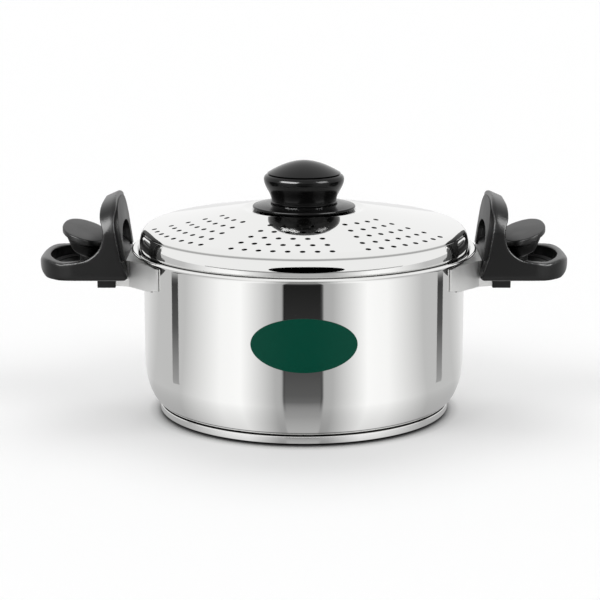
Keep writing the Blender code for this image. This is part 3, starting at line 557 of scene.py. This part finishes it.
def paintedCreaseLine(surface):
    # painted reflection: a dark line drawn into the colour at the radius of the pressed crease
    # round the shoulder
    radius = shoulderRadius + lid["round"] * math.cos(math.radians(lid["creaseAngle"]))
    reach = fromAxis(surface, *piecePlace(surface)[:2])
    off = mathNode(surface, "ABSOLUTE", mathNode(surface, "SUBTRACT", reach, radius))
    paintedDark = between(surface, off, *lid["paintedCreaseLine"], lid["creasePaintedShade"], 1.0)
    color = shaderInput(surface, "Base Color")
    wire(surface, shaded(surface, color.links[0].from_socket, paintedDark), color)


def holePlaces():
    places = []
    for group in range(holes["groups"]):
        middle = holes["centre"] + holes["groupStep"] * (group - (holes["groups"] - 1) / 2)
        for row in range(holes["rows"]):
            radius = holes["outerRadius"] - holes["pitch"] * row
            count = holes["outerRow"] - row
            for i in range(count):
                along = (i - (count - 1) / 2) * holes["spacing"]
                places.append((radius, math.radians(middle) + along / radius))
    return places


def holePunches():
    build = bmesh.new()
    for radius, azimuth in holePlaces():
        place = (Matrix.Rotation(azimuth - math.pi / 2, 4, "Z")
                 @ Matrix.Translation((radius, 0, coneHeight(radius)))
                 @ Matrix.Rotation(slope, 4, "Y"))
        bmesh.ops.create_cone(build, cap_ends=True, segments=holes["sides"],
                              radius1=holes["diameter"] / 2, radius2=holes["diameter"] / 2,
                              depth=holes["punchDepth"], matrix=place)
    return addObject("holePunches", meshFrom(build, "holePunches"))


lidShell = bakeModifiers(lathe("lidShell", lidProfile(), lid["steps"], lid["sheet"]))
lidShell = combine(lidShell, holePunches(), "DIFFERENCE")
# paints the dark reflection line into the lid's colour
paintedCreaseLine(lidSteel)
finishPiece(lidShell, lidSteel, "lid", ["lid_shell"], 40)
print("lid made:", len(lidShell.data.polygons), "faces")

# knob and its guard disc
knob = {
    "radius": 0.030, "neck": 0.0243, "foot": 0.0015, "bulge": 0.0178, "flankSteps": 18,
    "shoulder": 0.0037, "shoulderSteps": 10, "crown": 0.0272, "crownHeight": 0.0093,
    "crownPower": 1.85, "crownSteps": 18, "creaseDepth": 0.0013, "creaseWidth": 0.0007,
    "socket": 0.0053, "socketTop": 0.0153, "footBead": 0.0007, "beadDrop": 0.0004,
    "beadRound": 0.0003, "steps": 128,
}
guard = {
    "radius": 0.0384, "thick": 0.0046, "edge": 0.0019, "edgeStart": 80, "edgeSteps": 10,
    "flat": 0.0250, "fallStart": 0.0262, "fall": 0.0017, "fallPower": 1.5, "fallSteps": 8,
    "foot": 0.030, "footFillet": (0.0006, 0.0005), "hole": 0.0028,
}
guardSeat = dimpleTop + fitGap
knobSeat = guardSeat + guard["thick"] + fitGap


def guardProfile():
    top = guard["thick"] - guard["fall"]
    low = top - guard["edge"]
    edge = arc((guard["radius"] - guard["edge"] / 2, top - guard["edge"] / 2), guard["edge"] / 2,
               guard["edgeStart"], -90, guard["edgeSteps"])
    slopeLine = []
    for i in range(guard["fallSteps"] + 1):
        share = i / guard["fallSteps"]
        span = guard["radius"] - guard["edge"] / 2 - guard["fallStart"]
        slopeLine.append((guard["fallStart"] + span * share,
                          guard["thick"] - guard["fall"] * share ** guard["fallPower"]))
    across, down = guard["footFillet"]
    under = [(guard["foot"] + across, low), (guard["foot"], low - down), (guard["foot"], 0),
             (guard["hole"], 0)]
    flat = [(guard["hole"], guard["thick"]), (guard["flat"], guard["thick"])]
    outline = flat + slopeLine + edge + under
    return [(radius, height + guardSeat) for radius, height in outline + outline[:1]]


def knobProfile():
    crownBase = knob["bulge"] + knob["shoulder"] + knob["creaseWidth"]
    crown = []
    for i in range(knob["crownSteps"] + 1):
        share = i / knob["crownSteps"]
        rise = knob["crownHeight"] * (1 - share ** knob["crownPower"])
        crown.append((knob["crown"] * share, crownBase + rise))
    creaseRadius = knob["crown"] - knob["creaseDepth"]
    shoulder = []
    for i in range(knob["shoulderSteps"] + 1):
        turn = math.pi / 2 * (1 - i / knob["shoulderSteps"])
        shoulder.append((creaseRadius + (knob["radius"] - creaseRadius) * math.cos(turn),
                         knob["bulge"] + knob["shoulder"] * math.sin(turn)))
    flank = []
    for i in range(1, knob["flankSteps"] + 1):
        share = i / knob["flankSteps"]
        swell = (knob["radius"] - knob["neck"]) * (1 + math.cos(math.pi * share)) / 2
        flank.append((knob["neck"] + swell, knob["bulge"] + (knob["foot"] - knob["bulge"]) * share))
    beadRadius = knob["neck"] + knob["footBead"]
    bead = [(beadRadius, knob["foot"] - knob["beadDrop"]), (beadRadius, knob["beadRound"]),
            (beadRadius - knob["beadRound"], 0)]
    under = [(knob["socket"], 0), (knob["socket"], knob["socketTop"]), (0, knob["socketTop"])]
    outline = crown + shoulder + flank + bead + under
    return [(radius, height + knobSeat) for radius, height in outline]


knobGuard = bakeModifiers(lathe("knobGuard", guardProfile(), knob["steps"]))
finishPiece(knobGuard, guardBlack, "lid", ["knob_guard"], 40)
knobPiece = bakeModifiers(lathe("knobCrown", knobProfile(), knob["steps"]))
finishPiece(knobPiece, knobBlack, "lid", ["knob"], 40)
print("knob made")

# folded brackets on the wall
bracket = {
    "bottom": 0.0982, "top": 0.1178, "sheet": 0.0012, "start": 0.112, "hollowStart": 0.096,
    "mouth": (0.1155, 0.0409), "neck": (0.1295, 0.024), "end": (0.1505, 0.017), "bend": 0.0022,
    "bendSteps": 5, "flange": 0.058, "flangeCut": 0.0035, "flareSteps": 12,
}


def filletCorner(before, corner, after, radius, count=bracket["bendSteps"]):
    # an arc in place of a corner of an outline
    a = (Vector(before) - Vector(corner)).normalized()
    b = (Vector(after) - Vector(corner)).normalized()
    half = a.angle(b) / 2
    reach = radius / math.tan(half)
    centre = Vector(corner) + (a + b).normalized() * (radius / math.sin(half))
    start = Vector(corner) + a * reach - centre
    swing = start.angle_signed(Vector(corner) + b * reach - centre)
    turns = [Matrix.Rotation(-swing * i / count, 2) for i in range(count + 1)]
    return [tuple(centre + turn @ start) for turn in turns]


def funnelOutline(inset, start, endInset):
    mouth, neck, end = bracket["mouth"], bracket["neck"], bracket["end"]
    slopeIn = (neck[1] - mouth[1]) / (neck[0] - mouth[0])
    slopeOut = (end[1] - neck[1]) / (end[0] - neck[0])
    insetIn = inset * math.hypot(1, slopeIn)
    insetOut = inset * math.hypot(1, slopeOut)
    first = (start, mouth[1] + slopeIn * (start - mouth[0]) - insetIn)
    second = (neck[0], neck[1] - (insetIn + insetOut) / 2)
    third = (end[0] - endInset, end[1] - slopeOut * endInset - insetOut)
    half = [first] + filletCorner(first, second, third, bracket["bend"]) + [third]
    return half + [(x, -y) for x, y in reversed(half)]


def makeBracket():
    low, high, sheet = bracket["bottom"], bracket["top"], bracket["sheet"]
    wall = pot["radius"] + fitGap
    shell = prism("bracketShell", funnelOutline(0, bracket["start"], 0), "XY", low, high)
    ring = [(wall, high), (wall + sheet, high), (wall + sheet, low), (wall, low), (wall, high)]
    flange = bakeModifiers(lathe("flange", ring, pot["steps"]))
    corner = low + bracket["flangeCut"]
    half, mouth = bracket["flange"], bracket["mouth"][1]
    outline = [(-half, corner), (-mouth, low), (mouth, low), (half, corner), (half, high),
               (-half, high)]
    flange = combine(flange, prism("flangeShape", outline, "YZ", 0, 2 * pot["radius"]), "INTERSECT")
    shell = combine(shell, flange, "UNION")
    hollow = prism("bracketHollow", funnelOutline(sheet, bracket["hollowStart"], sheet), "XY",
                   low + sheet, high - sheet)
    shell = combine(shell, hollow, "DIFFERENCE")
    flare = arc(flareCentre, pot["flare"] - fitGap, pot["flareEnd"], 180, bracket["flareSteps"])
    clear = [(0, flare[0][1])] + flare + [(wall, 0), (0, 0)]
    return combine(shell, bakeModifiers(lathe("wallCut", clear, pot["steps"])), "DIFFERENCE")


# lever handles: the lock frame
lever = {
    "half": 0.045, "bottom": 0.1061, "lowRound": 0.004, "lowSteps": 8, "outlinePoints": 40,
    "ringEnd": 0.0768, "ringBend": 0.046, "ringWidth": 0.0074, "ringPower": 2.15, "ringTop": 0.1177,
    "ledgeWidth": 0.003, "ledgeHeight": 0.005, "throatTop": 0.1161, "back": 0.0268, "neckZ": 0.1385,
    "archTop": 0.1646, "archSpring": 0.134, "archPower": 2.9, "archFall": 0.45, "crest": 0.0198,
    "windowHalf": 0.029, "windowTop": 0.1435, "windowSpring": 0.1315, "windowPower": 2.2,
    "windowDepth": 0.0308, "pivot": (0.143, 0.1125), "pin": 0.002, "pinReach": 0.0393,
    "voxel": 0.00055, "smoothing": 14, "ringSmoothing": 45, "easeStart": 0.6, "easeRun": 0.012,
    "easeSpan": 0.06, "cutReach": 0.3, "planReach": 0.33,
}
panel = {
    "half": 0.0392, "foot": 0.1205, "out": 0.0112, "lean": 0.14, "top": 0.1622,
    "thick": 0.0055, "edge": 0.0007, "windowGrow": 0.0002,
}


def roundedSquare(turn, power):
    c, s = math.cos(turn), math.sin(turn)
    return math.copysign(abs(c) ** (2 / power), c), math.copysign(abs(s) ** (2 / power), s)


def archOutline(half, spring, top, foot, power, count=lever["outlinePoints"]):
    points = [(-half, foot)]
    for i in range(count + 1):
        x, y = roundedSquare(math.pi * (1 - i / count), power)
        points.append((half * x, spring + (top - spring) * y))
    return points + [(half, foot)]


def ringOutline(start, bend, end, half, count=lever["outlinePoints"]):
    points = [(start, -half)]
    for i in range(count + 1):
        x, y = roundedSquare(math.pi * (i / count - 0.5), lever["ringPower"])
        points.append((bend + (end - bend) * x, half * y))
    return points + [(start, half)]


def leverSide():
    # side view of the L: up the pot side, over the top and down the back
    wall, low, top = pot["radius"], lever["bottom"], lever["archTop"]
    back, end = wall + lever["back"], wall + lever["ringEnd"]
    return [
        (wall + 0.0113, low), (wall + 0.0088, low + 0.0025), (wall + 0.0140, 0.1230),
        (wall + 0.0182, 0.1500), (wall + 0.0180, top - 0.0020), (wall + 0.0198, top),
        (wall + 0.0260, top - 0.0021), (wall + 0.0288, top - 0.0043),
        (back + 0.0028, top - 0.0085), (back, lever["neckZ"]), (wall + 0.0343, 0.1249),
        (wall + 0.0550, lever["ringTop"] + 0.0018), (end, lever["ringTop"] - 0.0003),
        (end - 0.0009, low + 0.0045), (end - 0.0068, low),
    ]


def acrossPivot(name, radius, halfLength):
    bar = rod(name, radius, -halfLength, halfLength)
    place = Vector((lever["pivot"][0], 0, lever["pivot"][1]))
    bar.data.transform(Matrix.Translation(place) @ Matrix.Rotation(math.pi / 2, 4, "X"))
    return bar


def windowTool(name, grow=0.0):
    outline = archOutline(lever["windowHalf"] + grow, lever["windowSpring"],
                          lever["windowTop"] + grow, 0, lever["windowPower"])
    return prism(name, outline, "YZ", 0, pot["radius"] + lever["windowDepth"])


def makeLeverBody():
    wall = pot["radius"]
    side = lever["half"] + lever["lowRound"]
    piece = prism("leverBody", leverSide(), "XZ", -side, side, rounded=range(3, 14))
    arch = archOutline(lever["half"], lever["archSpring"], lever["archTop"], lever["bottom"],
                       lever["archPower"])[1:-1]
    corner = arc((lever["half"] - lever["lowRound"], lever["bottom"] + lever["lowRound"]),
                 lever["lowRound"], 0, -90, lever["lowSteps"])
    front = arch + corner + [(-y, z) for y, z in reversed(corner)]
    piece = combine(piece, prism("leverFront", front, "YZ", 0, lever["cutReach"]), "INTERSECT")
    # the crest falls toward the back all along the arch
    over = archOutline(lever["half"] + fitGap, lever["archSpring"], lever["archTop"], 0,
                       lever["archPower"])
    fall = prism("archFall", over, "YZ", 0, lever["cutReach"])
    slant = Matrix.Identity(4)
    slant[2][0] = -lever["archFall"]
    crest = Vector((wall + lever["crest"], 0, 0))
    fall.data.transform(Matrix.Translation(crest) @ slant @ Matrix.Translation(-crest))
    piece = combine(piece, fall, "INTERSECT")
    plan = ringOutline(0, wall + lever["ringBend"], wall + lever["ringEnd"] + fitGap,
                       lever["half"] + fitGap)
    piece = combine(piece, prism("leverPlan", plan, "XY", 0, lever["planReach"]), "INTERSECT")
    piece = combine(piece, windowTool("windowCut"), "DIFFERENCE")
    holeEnd = wall + lever["ringEnd"] - lever["ringWidth"]
    inner = lever["half"] - lever["ringWidth"]
    recess = ringOutline(wall + lever["back"], wall + lever["ringBend"], holeEnd, inner)
    piece = combine(piece, prism("ringHole", recess, "XY", lever["bottom"] + lever["ledgeHeight"],
                                 lever["neckZ"]), "DIFFERENCE")
    throat = ringOutline(wall + lever["back"] - 0.001, wall + lever["ringBend"],
                         holeEnd - lever["ledgeWidth"], inner - lever["ledgeWidth"])
    piece = combine(piece, prism("ringThroat", throat, "XY", 0, lever["throatTop"]), "DIFFERENCE")
    socket = acrossPivot("socketCut", lever["pin"] + fitGap, lever["pinReach"])
    piece = combine(piece, socket, "DIFFERENCE")
    skin = piece.modifiers.new("skin", "REMESH")
    skin.mode = "VOXEL"
    skin.voxel_size = lever["voxel"]
    soften = piece.modifiers.new("soften", "SMOOTH")
    soften.iterations = lever["smoothing"]
    piece = bakeModifiers(piece)
    # the ring's outer edges are softer than the rest
    outer = piece.vertex_groups.new(name="ringEdge")
    middle = lever["half"] - lever["ringWidth"] * lever["easeStart"]
    reach = lever["ringEnd"] - lever["ringBend"] - lever["ringWidth"] * lever["easeStart"]
    power = lever["ringPower"]
    for vertex in piece.data.vertices:
        past = vertex.co.x - wall - lever["ringBend"]
        along, across = max(past / reach, 0), abs(vertex.co.y) / middle
        spanned = (along ** power + across ** power) ** (1 / power)
        rise = min(max(past / lever["easeRun"], 0), 1)
        weight = rise * min(max((spanned - 1.0) / lever["easeSpan"], 0), 1)
        if weight:
            outer.add([vertex.index], weight, "REPLACE")
    ease = piece.modifiers.new("ringEase", "SMOOTH")
    ease.iterations = lever["ringSmoothing"]
    ease.vertex_group = "ringEdge"
    return bakeModifiers(piece)


def makeLeverPanel():
    outline = archOutline(panel["half"], lever["archSpring"], panel["top"], panel["foot"],
                          lever["archPower"])
    piece = prism("leverPanel", outline, "YZ", 0, panel["thick"])
    lean = Matrix.Rotation(math.atan(panel["lean"]), 4, "Y")
    foot = Matrix.Translation((pot["radius"] + panel["out"], 0, panel["foot"]))
    piece.data.transform(foot @ lean @ Matrix.Translation((0, 0, -panel["foot"])))
    piece = combine(piece, windowTool("panelWindow", panel["windowGrow"]), "DIFFERENCE")
    return bakeModifiers(roundEdges(piece, panel["edge"]))


# lever handles: the fixed core with its thumb pad
core = {
    "half": 0.0284, "front": 0.0115, "sill": 0.0135, "sillRise": 0.0057, "rampTop": 0.1305,
    "rampOut": 0.0235, "rampFlat": 0.003, "back": 0.036, "backDrop": 0.008, "bottom": 0.104,
    "tab": (0.140, 0.1535), "tabHalf": 0.0215, "tabBottom": 0.0966, "tabOverlap": 0.002,
    "edge": 0.0008, "slotStart": 0.116, "shank": 0.0023, "shankPlace": 0.145,
}
pad = {
    "half": 0.036, "inner": 0.1476, "tip": 0.1798, "tilt": 0.325, "top": 0.1370, "rim": 0.004,
    "round": 0.0012, "crown": 0.0009, "inset": 0.003, "depth": 0.0135, "taper": 0.003,
    "power": 2.35, "points": 96, "stemHalf": 0.022, "stemLength": 0.020, "stemRise": 0.004,
    "stemDrop": 0.003, "lip": 0.0004, "foot": (0.0008, 0.0006), "topSteps": 6,
    "topRings": (0.85, 0.6, 0.3),
    # the groove under the rim: drop below it and depth
    "groove": [(0.0022, 0), (0.0016, 0.0006), (0.0008, 0.0006), (0, 0)],
}


def makeCoreBlock():
    wall = pot["radius"]
    front, back, ramp = wall + core["front"], wall + core["back"], wall + core["rampOut"]
    side = [(front, core["bottom"]), (back, core["bottom"]),
            (back, core["rampTop"] - core["backDrop"]), (ramp + core["rampFlat"], core["rampTop"]),
            (ramp, core["rampTop"]), (wall + core["sill"], bracket["top"] + core["sillRise"]),
            (front, bracket["top"])]
    piece = prism("coreBlock", side, "XZ", -core["half"], core["half"])
    near, far = core["tab"]
    half = core["tabHalf"]
    tab = prism("coreTab", [(near, -half), (far, -half), (far, half), (near, half)], "XY",
                core["tabBottom"], core["bottom"] + core["tabOverlap"])
    piece = combine(piece, tab, "UNION")
    piece = bakeModifiers(roundEdges(piece, core["edge"], 2, 50))
    slot = prism("bracketSlot", funnelOutline(-fitGap, core["slotStart"], -fitGap), "XY",
                 bracket["bottom"] - fitGap, bracket["top"] + fitGap)
    piece = combine(piece, slot, "DIFFERENCE")
    shank = rod("shankHole", core["shank"], core["tabBottom"] - 0.001, bracket["bottom"])
    shank.data.transform(Matrix.Translation((core["shankPlace"], 0, 0)))
    return combine(piece, shank, "DIFFERENCE")


def padSections():
    centre = (pad["inner"] + pad["tip"]) / 2
    length = (pad["tip"] - pad["inner"]) / 2
    bodyLength, bodyHalf = length - pad["inset"], pad["half"] - pad["inset"]
    lowLength, lowHalf = bodyLength - pad["taper"], bodyHalf - pad["taper"]
    stem = pad["inner"] + pad["stemLength"] / 2
    top, tilt, edge = pad["top"], math.atan(pad["tilt"]), pad["round"]
    below = top - pad["depth"] - (centre - stem) * pad["tilt"]
    rim, lip, (footRise, footIn) = top - pad["rim"], pad["lip"], pad["foot"]
    # each ring: place, height, half length, half width and tilt
    rings = [(stem, core["bottom"] + pad["stemRise"], pad["stemLength"] / 2, pad["stemHalf"], 0),
             (stem, below - pad["stemDrop"], pad["stemLength"] / 2, pad["stemHalf"], tilt),
             (centre, top - pad["depth"], lowLength - footIn, lowHalf - footIn, tilt),
             (centre, top - pad["depth"] + footRise, lowLength, lowHalf, tilt)]
    for drop, cut in pad["groove"]:
        rings.append((centre, rim - drop, bodyLength - cut, bodyHalf - cut, tilt))
    rings += [(centre, rim, length - lip, pad["half"] - lip, tilt),
              (centre, rim + lip, length, pad["half"], tilt)]
    for i in range(pad["topSteps"] + 1):
        turn = math.pi / 2 * i / pad["topSteps"]
        inset = edge * (1 - math.cos(turn))
        height = top - edge + edge * math.sin(turn)
        rings.append((centre, height, length - inset, pad["half"] - inset, tilt))
    for share in pad["topRings"]:
        rings.append((centre, top + pad["crown"] * (1 - share ** 2), (length - edge) * share,
                      (pad["half"] - edge) * share, tilt))
    return rings


def makePad():
    build = bmesh.new()
    count = pad["points"]
    rings = []
    for x, z, length, half, tilt in padSections():
        ring = []
        for i in range(count):
            u, v = roundedSquare(math.tau * i / count, pad["power"])
            spot = (x + u * length, v * half, z + u * length * math.tan(tilt))
            ring.append(build.verts.new(spot))
        rings.append(ring)
    for low, high in zip(rings, rings[1:]):
        for i in range(count):
            j = (i + 1) % count
            build.faces.new((low[i], low[j], high[j], high[i]))
    build.faces.new(list(reversed(rings[0])))
    centre = padSections()[-1][0]
    crown = build.verts.new((centre, 0, pad["top"] + pad["crown"]))
    for i in range(count):
        build.faces.new((rings[-1][i], rings[-1][(i + 1) % count], crown))
    return addObject("thumbPad", meshFrom(build, "thumbPad"))


def bothSides(piece, name, surface, bodies, nodes, sharpAngle=35):
    # the left handle is the right one turned half round
    mirror = addObject(name + "Left", piece.data.copy())
    mirror.data.transform(Matrix.Rotation(math.pi, 4, "Z"))
    piece.name = name + "Right"
    piece.data.name = piece.name
    for part, body, side in ((piece, bodies[0], "_right"), (mirror, bodies[1], "_left")):
        finishPiece(part, surface, body, [node + side for node in nodes], sharpAngle)


locks = ("lock_right", "lock_left")
fixed = ("pot", "pot")
bothSides(makeBracket(), "bracket", bracketSteel, fixed, ["handle_bracket"])
print("brackets made")
bothSides(makeLeverBody(), "lever", leverBlack, locks, ["lock_frame"], 60)
bothSides(makeLeverPanel(), "leverPanel", handleBlack, locks, [])
print("levers made")
bothSides(makeCoreBlock(), "coreBlock", handleBlack, fixed, ["handle_core"])
bothSides(makePad(), "thumbPad", handleBlack, fixed, [], 40)
print("cores and thumb pads made")

# the small solids that stay as they are
smallFinishes = {
    "base_core": coreAluminium, "knob_insert": insertBrass, "knob_washer": screwSteel,
    "knob_screw": screwSteel, "bracket_nut": screwSteel, "handle_screw": screwSteel,
    "screw_washer": screwSteel, "pivot_pin": screwSteel,
}
for nodeName, node in frame["nodes"].items():
    for start, surface in smallFinishes.items():
        if nodeName.startswith(start):
            node.data.materials.clear()
            node.data.materials.append(surface)

# studio: floor, world, lamps
studio = {
    "floorSize": 24.0, "floorColor": 0.92, "floorGlow": 0.04, "floorDrop": 0.0002,
    # reach and greys of the shadow painted on the floor round the pot's foot
    "contactReach": 0.016, "contactPaintedShadow": [(0.30, 0.05), (0.50, 0.74), (0.74, 1.0)],
    "worldDiffuse": 0.62,
    # azimuth, elevation, strength and softness of each lamp
    "suns": {
        "sunLeft": (-48, 45, 0.5, 30), "sunRight": (48, 45, 0.5, 30), "sunTop": (180, 62, 0.70, 40),
    },
    # azimuth, elevation, distance, size and brightness of each softbox
    "knobSoftboxes": {
        "knobSoftboxLeft": (-46, 34, 1.3, (1.1, 0.75), 32),
        "knobSoftboxRight": (58, 34, 1.3, (0.6, 0.75), 14),
    },
    "handleSoftboxes": {
        "handleSoftboxLeft": (-46, 34, 1.2, (1.1, 0.75), 18),
        "handleSoftboxRight": (58, 34, 1.2, (0.7, 0.75), 18),
    },
}
# what the steel mirrors of the floor: greys by degrees round the pot on both sides alike,
# and greys by metres from its centre inside the dark gap in front
mirrored = {
    "sides": [(0, 0.4), (20, 0.5), (45, 1.15), (60, 1.1), (90, 0.6), (120, 0.6), (140, 0.8),
              (180, 0.85)],
    "gap": [(0.11, 0.65), (0.14, 0.4), (0.2, 0.15), (0.4, 0.04), (0.6, 0.01)],
    "gapLeft": -15.3, "gapRight": 12.8, "gapFocus": 0.0615, "edgeSoft": 0.0006,
    "lineRun": (0.0018, 0.0040), "lineFade": [(0.15, 1.0), (0.24, 0.0)],
    # start, end, low and high: past the gap, near the pot and right under it
    "beyond": (0.66, 0.70, 0.0, 0.5), "under": (0.1100, 0.17, 0.74, 1.0),
    "foot": (0.1086, 0.1098, 0.0, 1.0),
}


def floorReflection(surface):
    # drawn, not lit: polished steel mirrors this instead of the pale floor that the camera
    # sees, with light sides and a dark gap in front
    x, y = piecePlace(surface)[:2]
    ahead = times(surface, mathNode(surface, "ADD", y, mirrored["gapFocus"]), -1.0)
    angle = mathNode(surface, "ARCTAN2", x, ahead)
    turn = mathNode(surface, "ADD", times(surface, angle, 1 / math.tau), 0.5)
    toSide = mathNode(surface, "ABSOLUTE", angle)
    stops = [(degrees / 180, grey) for degrees, grey in mirrored["sides"]]
    sides = greyRamp(surface, times(surface, toSide, 1 / math.pi), stops)
    left, right = 0.5 + mirrored["gapLeft"] / 360, 0.5 + mirrored["gapRight"] / 360
    soft, (near, run) = mirrored["edgeSoft"], mirrored["lineRun"]
    inGap = greyRamp(surface, turn, [(left - soft, 0), (left + soft, 1), (right - soft, 1),
                                     (right + soft, 0)])
    line = greyRamp(surface, turn, [(left, 0.0), (left + near, 0.0), (left + run, 1),
                                    (right - run, 1), (right - near, 0.0), (right, 0.0)])
    far = fromAxis(surface, x, y)
    gap = greyRamp(surface, far, mirrored["gap"])
    lineFade = greyRamp(surface, far, mirrored["lineFade"])
    beyond = between(surface, far, *mirrored["beyond"])
    edged = times(surface, gap, mathNode(surface, "MAXIMUM", line, lineFade))
    edged = mathNode(surface, "MAXIMUM", edged, beyond)
    mixed = addNode(surface, "ShaderNodeMix", data_type="FLOAT")
    wire(surface, inGap, mixed.inputs[0])
    wire(surface, sides, mixed.inputs[2])
    wire(surface, edged, mixed.inputs[3])
    under = between(surface, far, *mirrored["under"])
    foot = between(surface, far, *mirrored["foot"])
    return times(surface, mixed.outputs[0], times(surface, under, foot))


def makeFloor():
    size = studio["floorSize"] / 2
    mesh = bpy.data.meshes.new("floor")
    corners = [(-size, -size, 0), (size, -size, 0), (size, size, 0), (-size, size, 0)]
    mesh.from_pydata(corners, [], [(0, 1, 2, 3)])
    floor = addObject("floor", mesh)
    floor.location.z = -studio["floorDrop"]
    surface = bareMaterial("studio floor")
    rays = addNode(surface, "ShaderNodeLightPath").outputs
    # painted shadow: the floor's colour goes darker by ambient occlusion near the pot
    contact = paintedCreviceShade(surface, studio["contactReach"], studio["contactPaintedShadow"])
    grey = times(surface, contact, studio["floorColor"])
    glow = times(surface, rays["Is Camera Ray"], studio["floorGlow"])
    plain = feed(surface, "ShaderNodeAddShader", feed(surface, "ShaderNodeBsdfDiffuse", grey),
                 glowing(surface, glow))
    both = feed(surface, "ShaderNodeMixShader", rays["Is Glossy Ray"], plain,
                glowing(surface, floorReflection(surface)))
    showShader(surface, both)
    mesh.materials.append(surface)


def cardOutline(half, low, high):
    return [(-half, low), (half, low), (half, high), (-half, high)]


def addCard(name, outline, place, facing, stops, brightness=None):
    # a flat card that only reflections see, its grey given up its height in metres;
    # one with a brightness is see-through
    mesh = bpy.data.meshes.new(name)
    mesh.from_pydata([(u, 0, v) for u, v in outline], [], [range(len(outline))])
    card = addObject(name, mesh)
    card.location = place
    card.rotation_euler = (0, 0, math.radians(facing))
    card.visible_camera = False
    card.visible_diffuse = False
    card.visible_shadow = False
    card.visible_transmission = False
    surface = bareMaterial(name)
    height = piecePlace(surface)[2]
    glow = glowing(surface, greyRamp(surface, height, stops), brightness or 1.0)
    if brightness:
        clear = addNode(surface, "ShaderNodeBsdfTransparent").outputs[0]
        glow = feed(surface, "ShaderNodeAddShader", clear, glow)
    showShader(surface, glow)
    mesh.materials.append(surface)
    return card


def addSoftbox(name, azimuth, elevation, distance, size, brightness, pieces):
    # a clear glowing card in front for some pieces; azimuth is from the label side
    turn, rise = math.radians(azimuth), math.radians(elevation)
    flat = math.cos(rise)
    place = Vector((math.sin(turn) * flat, -math.cos(turn) * flat, math.sin(rise)))
    outline = cardOutline(size[0] / 2, -size[1] / 2, size[1] / 2)
    card = addCard(name, outline, place * distance, 0, [(0, 1), (1, 1)], brightness)
    card.rotation_euler = (-place).to_track_quat("Y", "Z").to_euler()
    card.light_linking.receiver_collection = pieces


def makeWorld():
    world = bpy.data.worlds.new("studio")
    bpy.context.scene.world = world
    world.use_nodes = True
    background = world.node_tree.nodes["Background"]
    background.inputs["Color"].default_value = (1, 1, 1, 1)
    rays = addNode(world, "ShaderNodeLightPath").outputs
    seen = mathNode(world, "MAXIMUM", rays["Is Camera Ray"], rays["Is Glossy Ray"])
    seen = mathNode(world, "MAXIMUM", seen, rays["Is Transmission Ray"])
    level = between(world, seen, 0, 1, studio["worldDiffuse"], 1.0)
    wire(world, level, background.inputs["Strength"])


def addSun(name, azimuth, elevation, strength, softness):
    # azimuth is from the label side, towards the right handle
    lamp = bpy.data.lights.new(name, "SUN")
    lamp.energy = strength
    lamp.angle = math.radians(softness)
    source = addObject(name, lamp)
    source.rotation_euler = (math.radians(90 - elevation), 0, math.radians(azimuth))
    source.visible_glossy = False


def collectPieces(name, surfaces):
    group = bpy.data.collections.new(name)
    for piece in bpy.context.scene.collection.objects:
        if piece.type == "MESH" and any(surface in surfaces for surface in piece.data.materials):
            group.objects.link(piece)
    return group


# the softboxes shine on the black pieces only, so that the steel stays even
knobPieces = collectPieces("knob pieces", [knobBlack])
handlePieces = collectPieces("handle pieces", [handleBlack, leverBlack, guardBlack])

makeFloor()
makeWorld()
for lampName, settings in studio["suns"].items():
    addSun(lampName, *settings)
for boxName, settings in studio["knobSoftboxes"].items():
    addSoftbox(boxName, *settings, knobPieces)
for boxName, settings in studio["handleSoftboxes"].items():
    addSoftbox(boxName, *settings, handlePieces)

# the dark cards and the grey horizon that the steel mirrors
cards = {
    "gapHalf": (0.50, 0.125), "gapPlace": (0.04, -1.10, 0.235), "gapPoints": 48,
    "horizonHalf": 3, "horizonLow": 0.10, "horizonTop": 0.15, "horizonPlace": (0, -1.13, 0),
    "horizonGrey": 0.30, "stripHalf": 0.0105, "stripTop": 0.095,
    "stripStops": [(0.0, 0.4), (0.05, 0.1), (0.085, 0.05), (0.095, 0.75)],
    # place and facing of each strip
    "strips": {
        "stripCardLeft": ((-0.2086, -0.0455, 0.0), 88),
        "stripCardRight": ((0.2080, -0.0205, 0.0), 91),
    },
}
halfWidth, halfHeight = cards["gapHalf"]
gapTurns = [math.tau * i / cards["gapPoints"] for i in range(cards["gapPoints"])]
ellipse = [(halfWidth * math.cos(t), halfHeight * math.sin(t)) for t in gapTurns]
addCard("gapCard", ellipse, cards["gapPlace"], 0, [(0, 0), (1, 0)])
horizon = cardOutline(cards["horizonHalf"], cards["horizonLow"], cards["horizonTop"])
addCard("horizonCard", horizon, cards["horizonPlace"], 0,
        [(0, cards["horizonGrey"]), (1, cards["horizonGrey"])])
strip = cardOutline(cards["stripHalf"], 0, cards["stripTop"])
for stripName, (spot, facing) in cards["strips"].items():
    addCard(stripName, strip, spot, facing, cards["stripStops"])

# camera at the photograph's place
view = {
    "place": (0, -1.475, 0.4037), "down": 12.27, "lens": 120, "sensor": 36,
    "shift": -4 / 600,  # four pixels of the photograph's 600
}
cameraData = bpy.data.cameras.new("camera")
cameraData.lens = view["lens"]
cameraData.sensor_width = view["sensor"]
cameraData.shift_x = view["shift"]
camera = addObject("camera", cameraData)
camera.location = view["place"]
camera.rotation_euler = (math.radians(90 - view["down"]), 0, 0)
bpy.context.scene.camera = camera
bpy.context.scene.view_settings.view_transform = "Standard"
print("studio made")
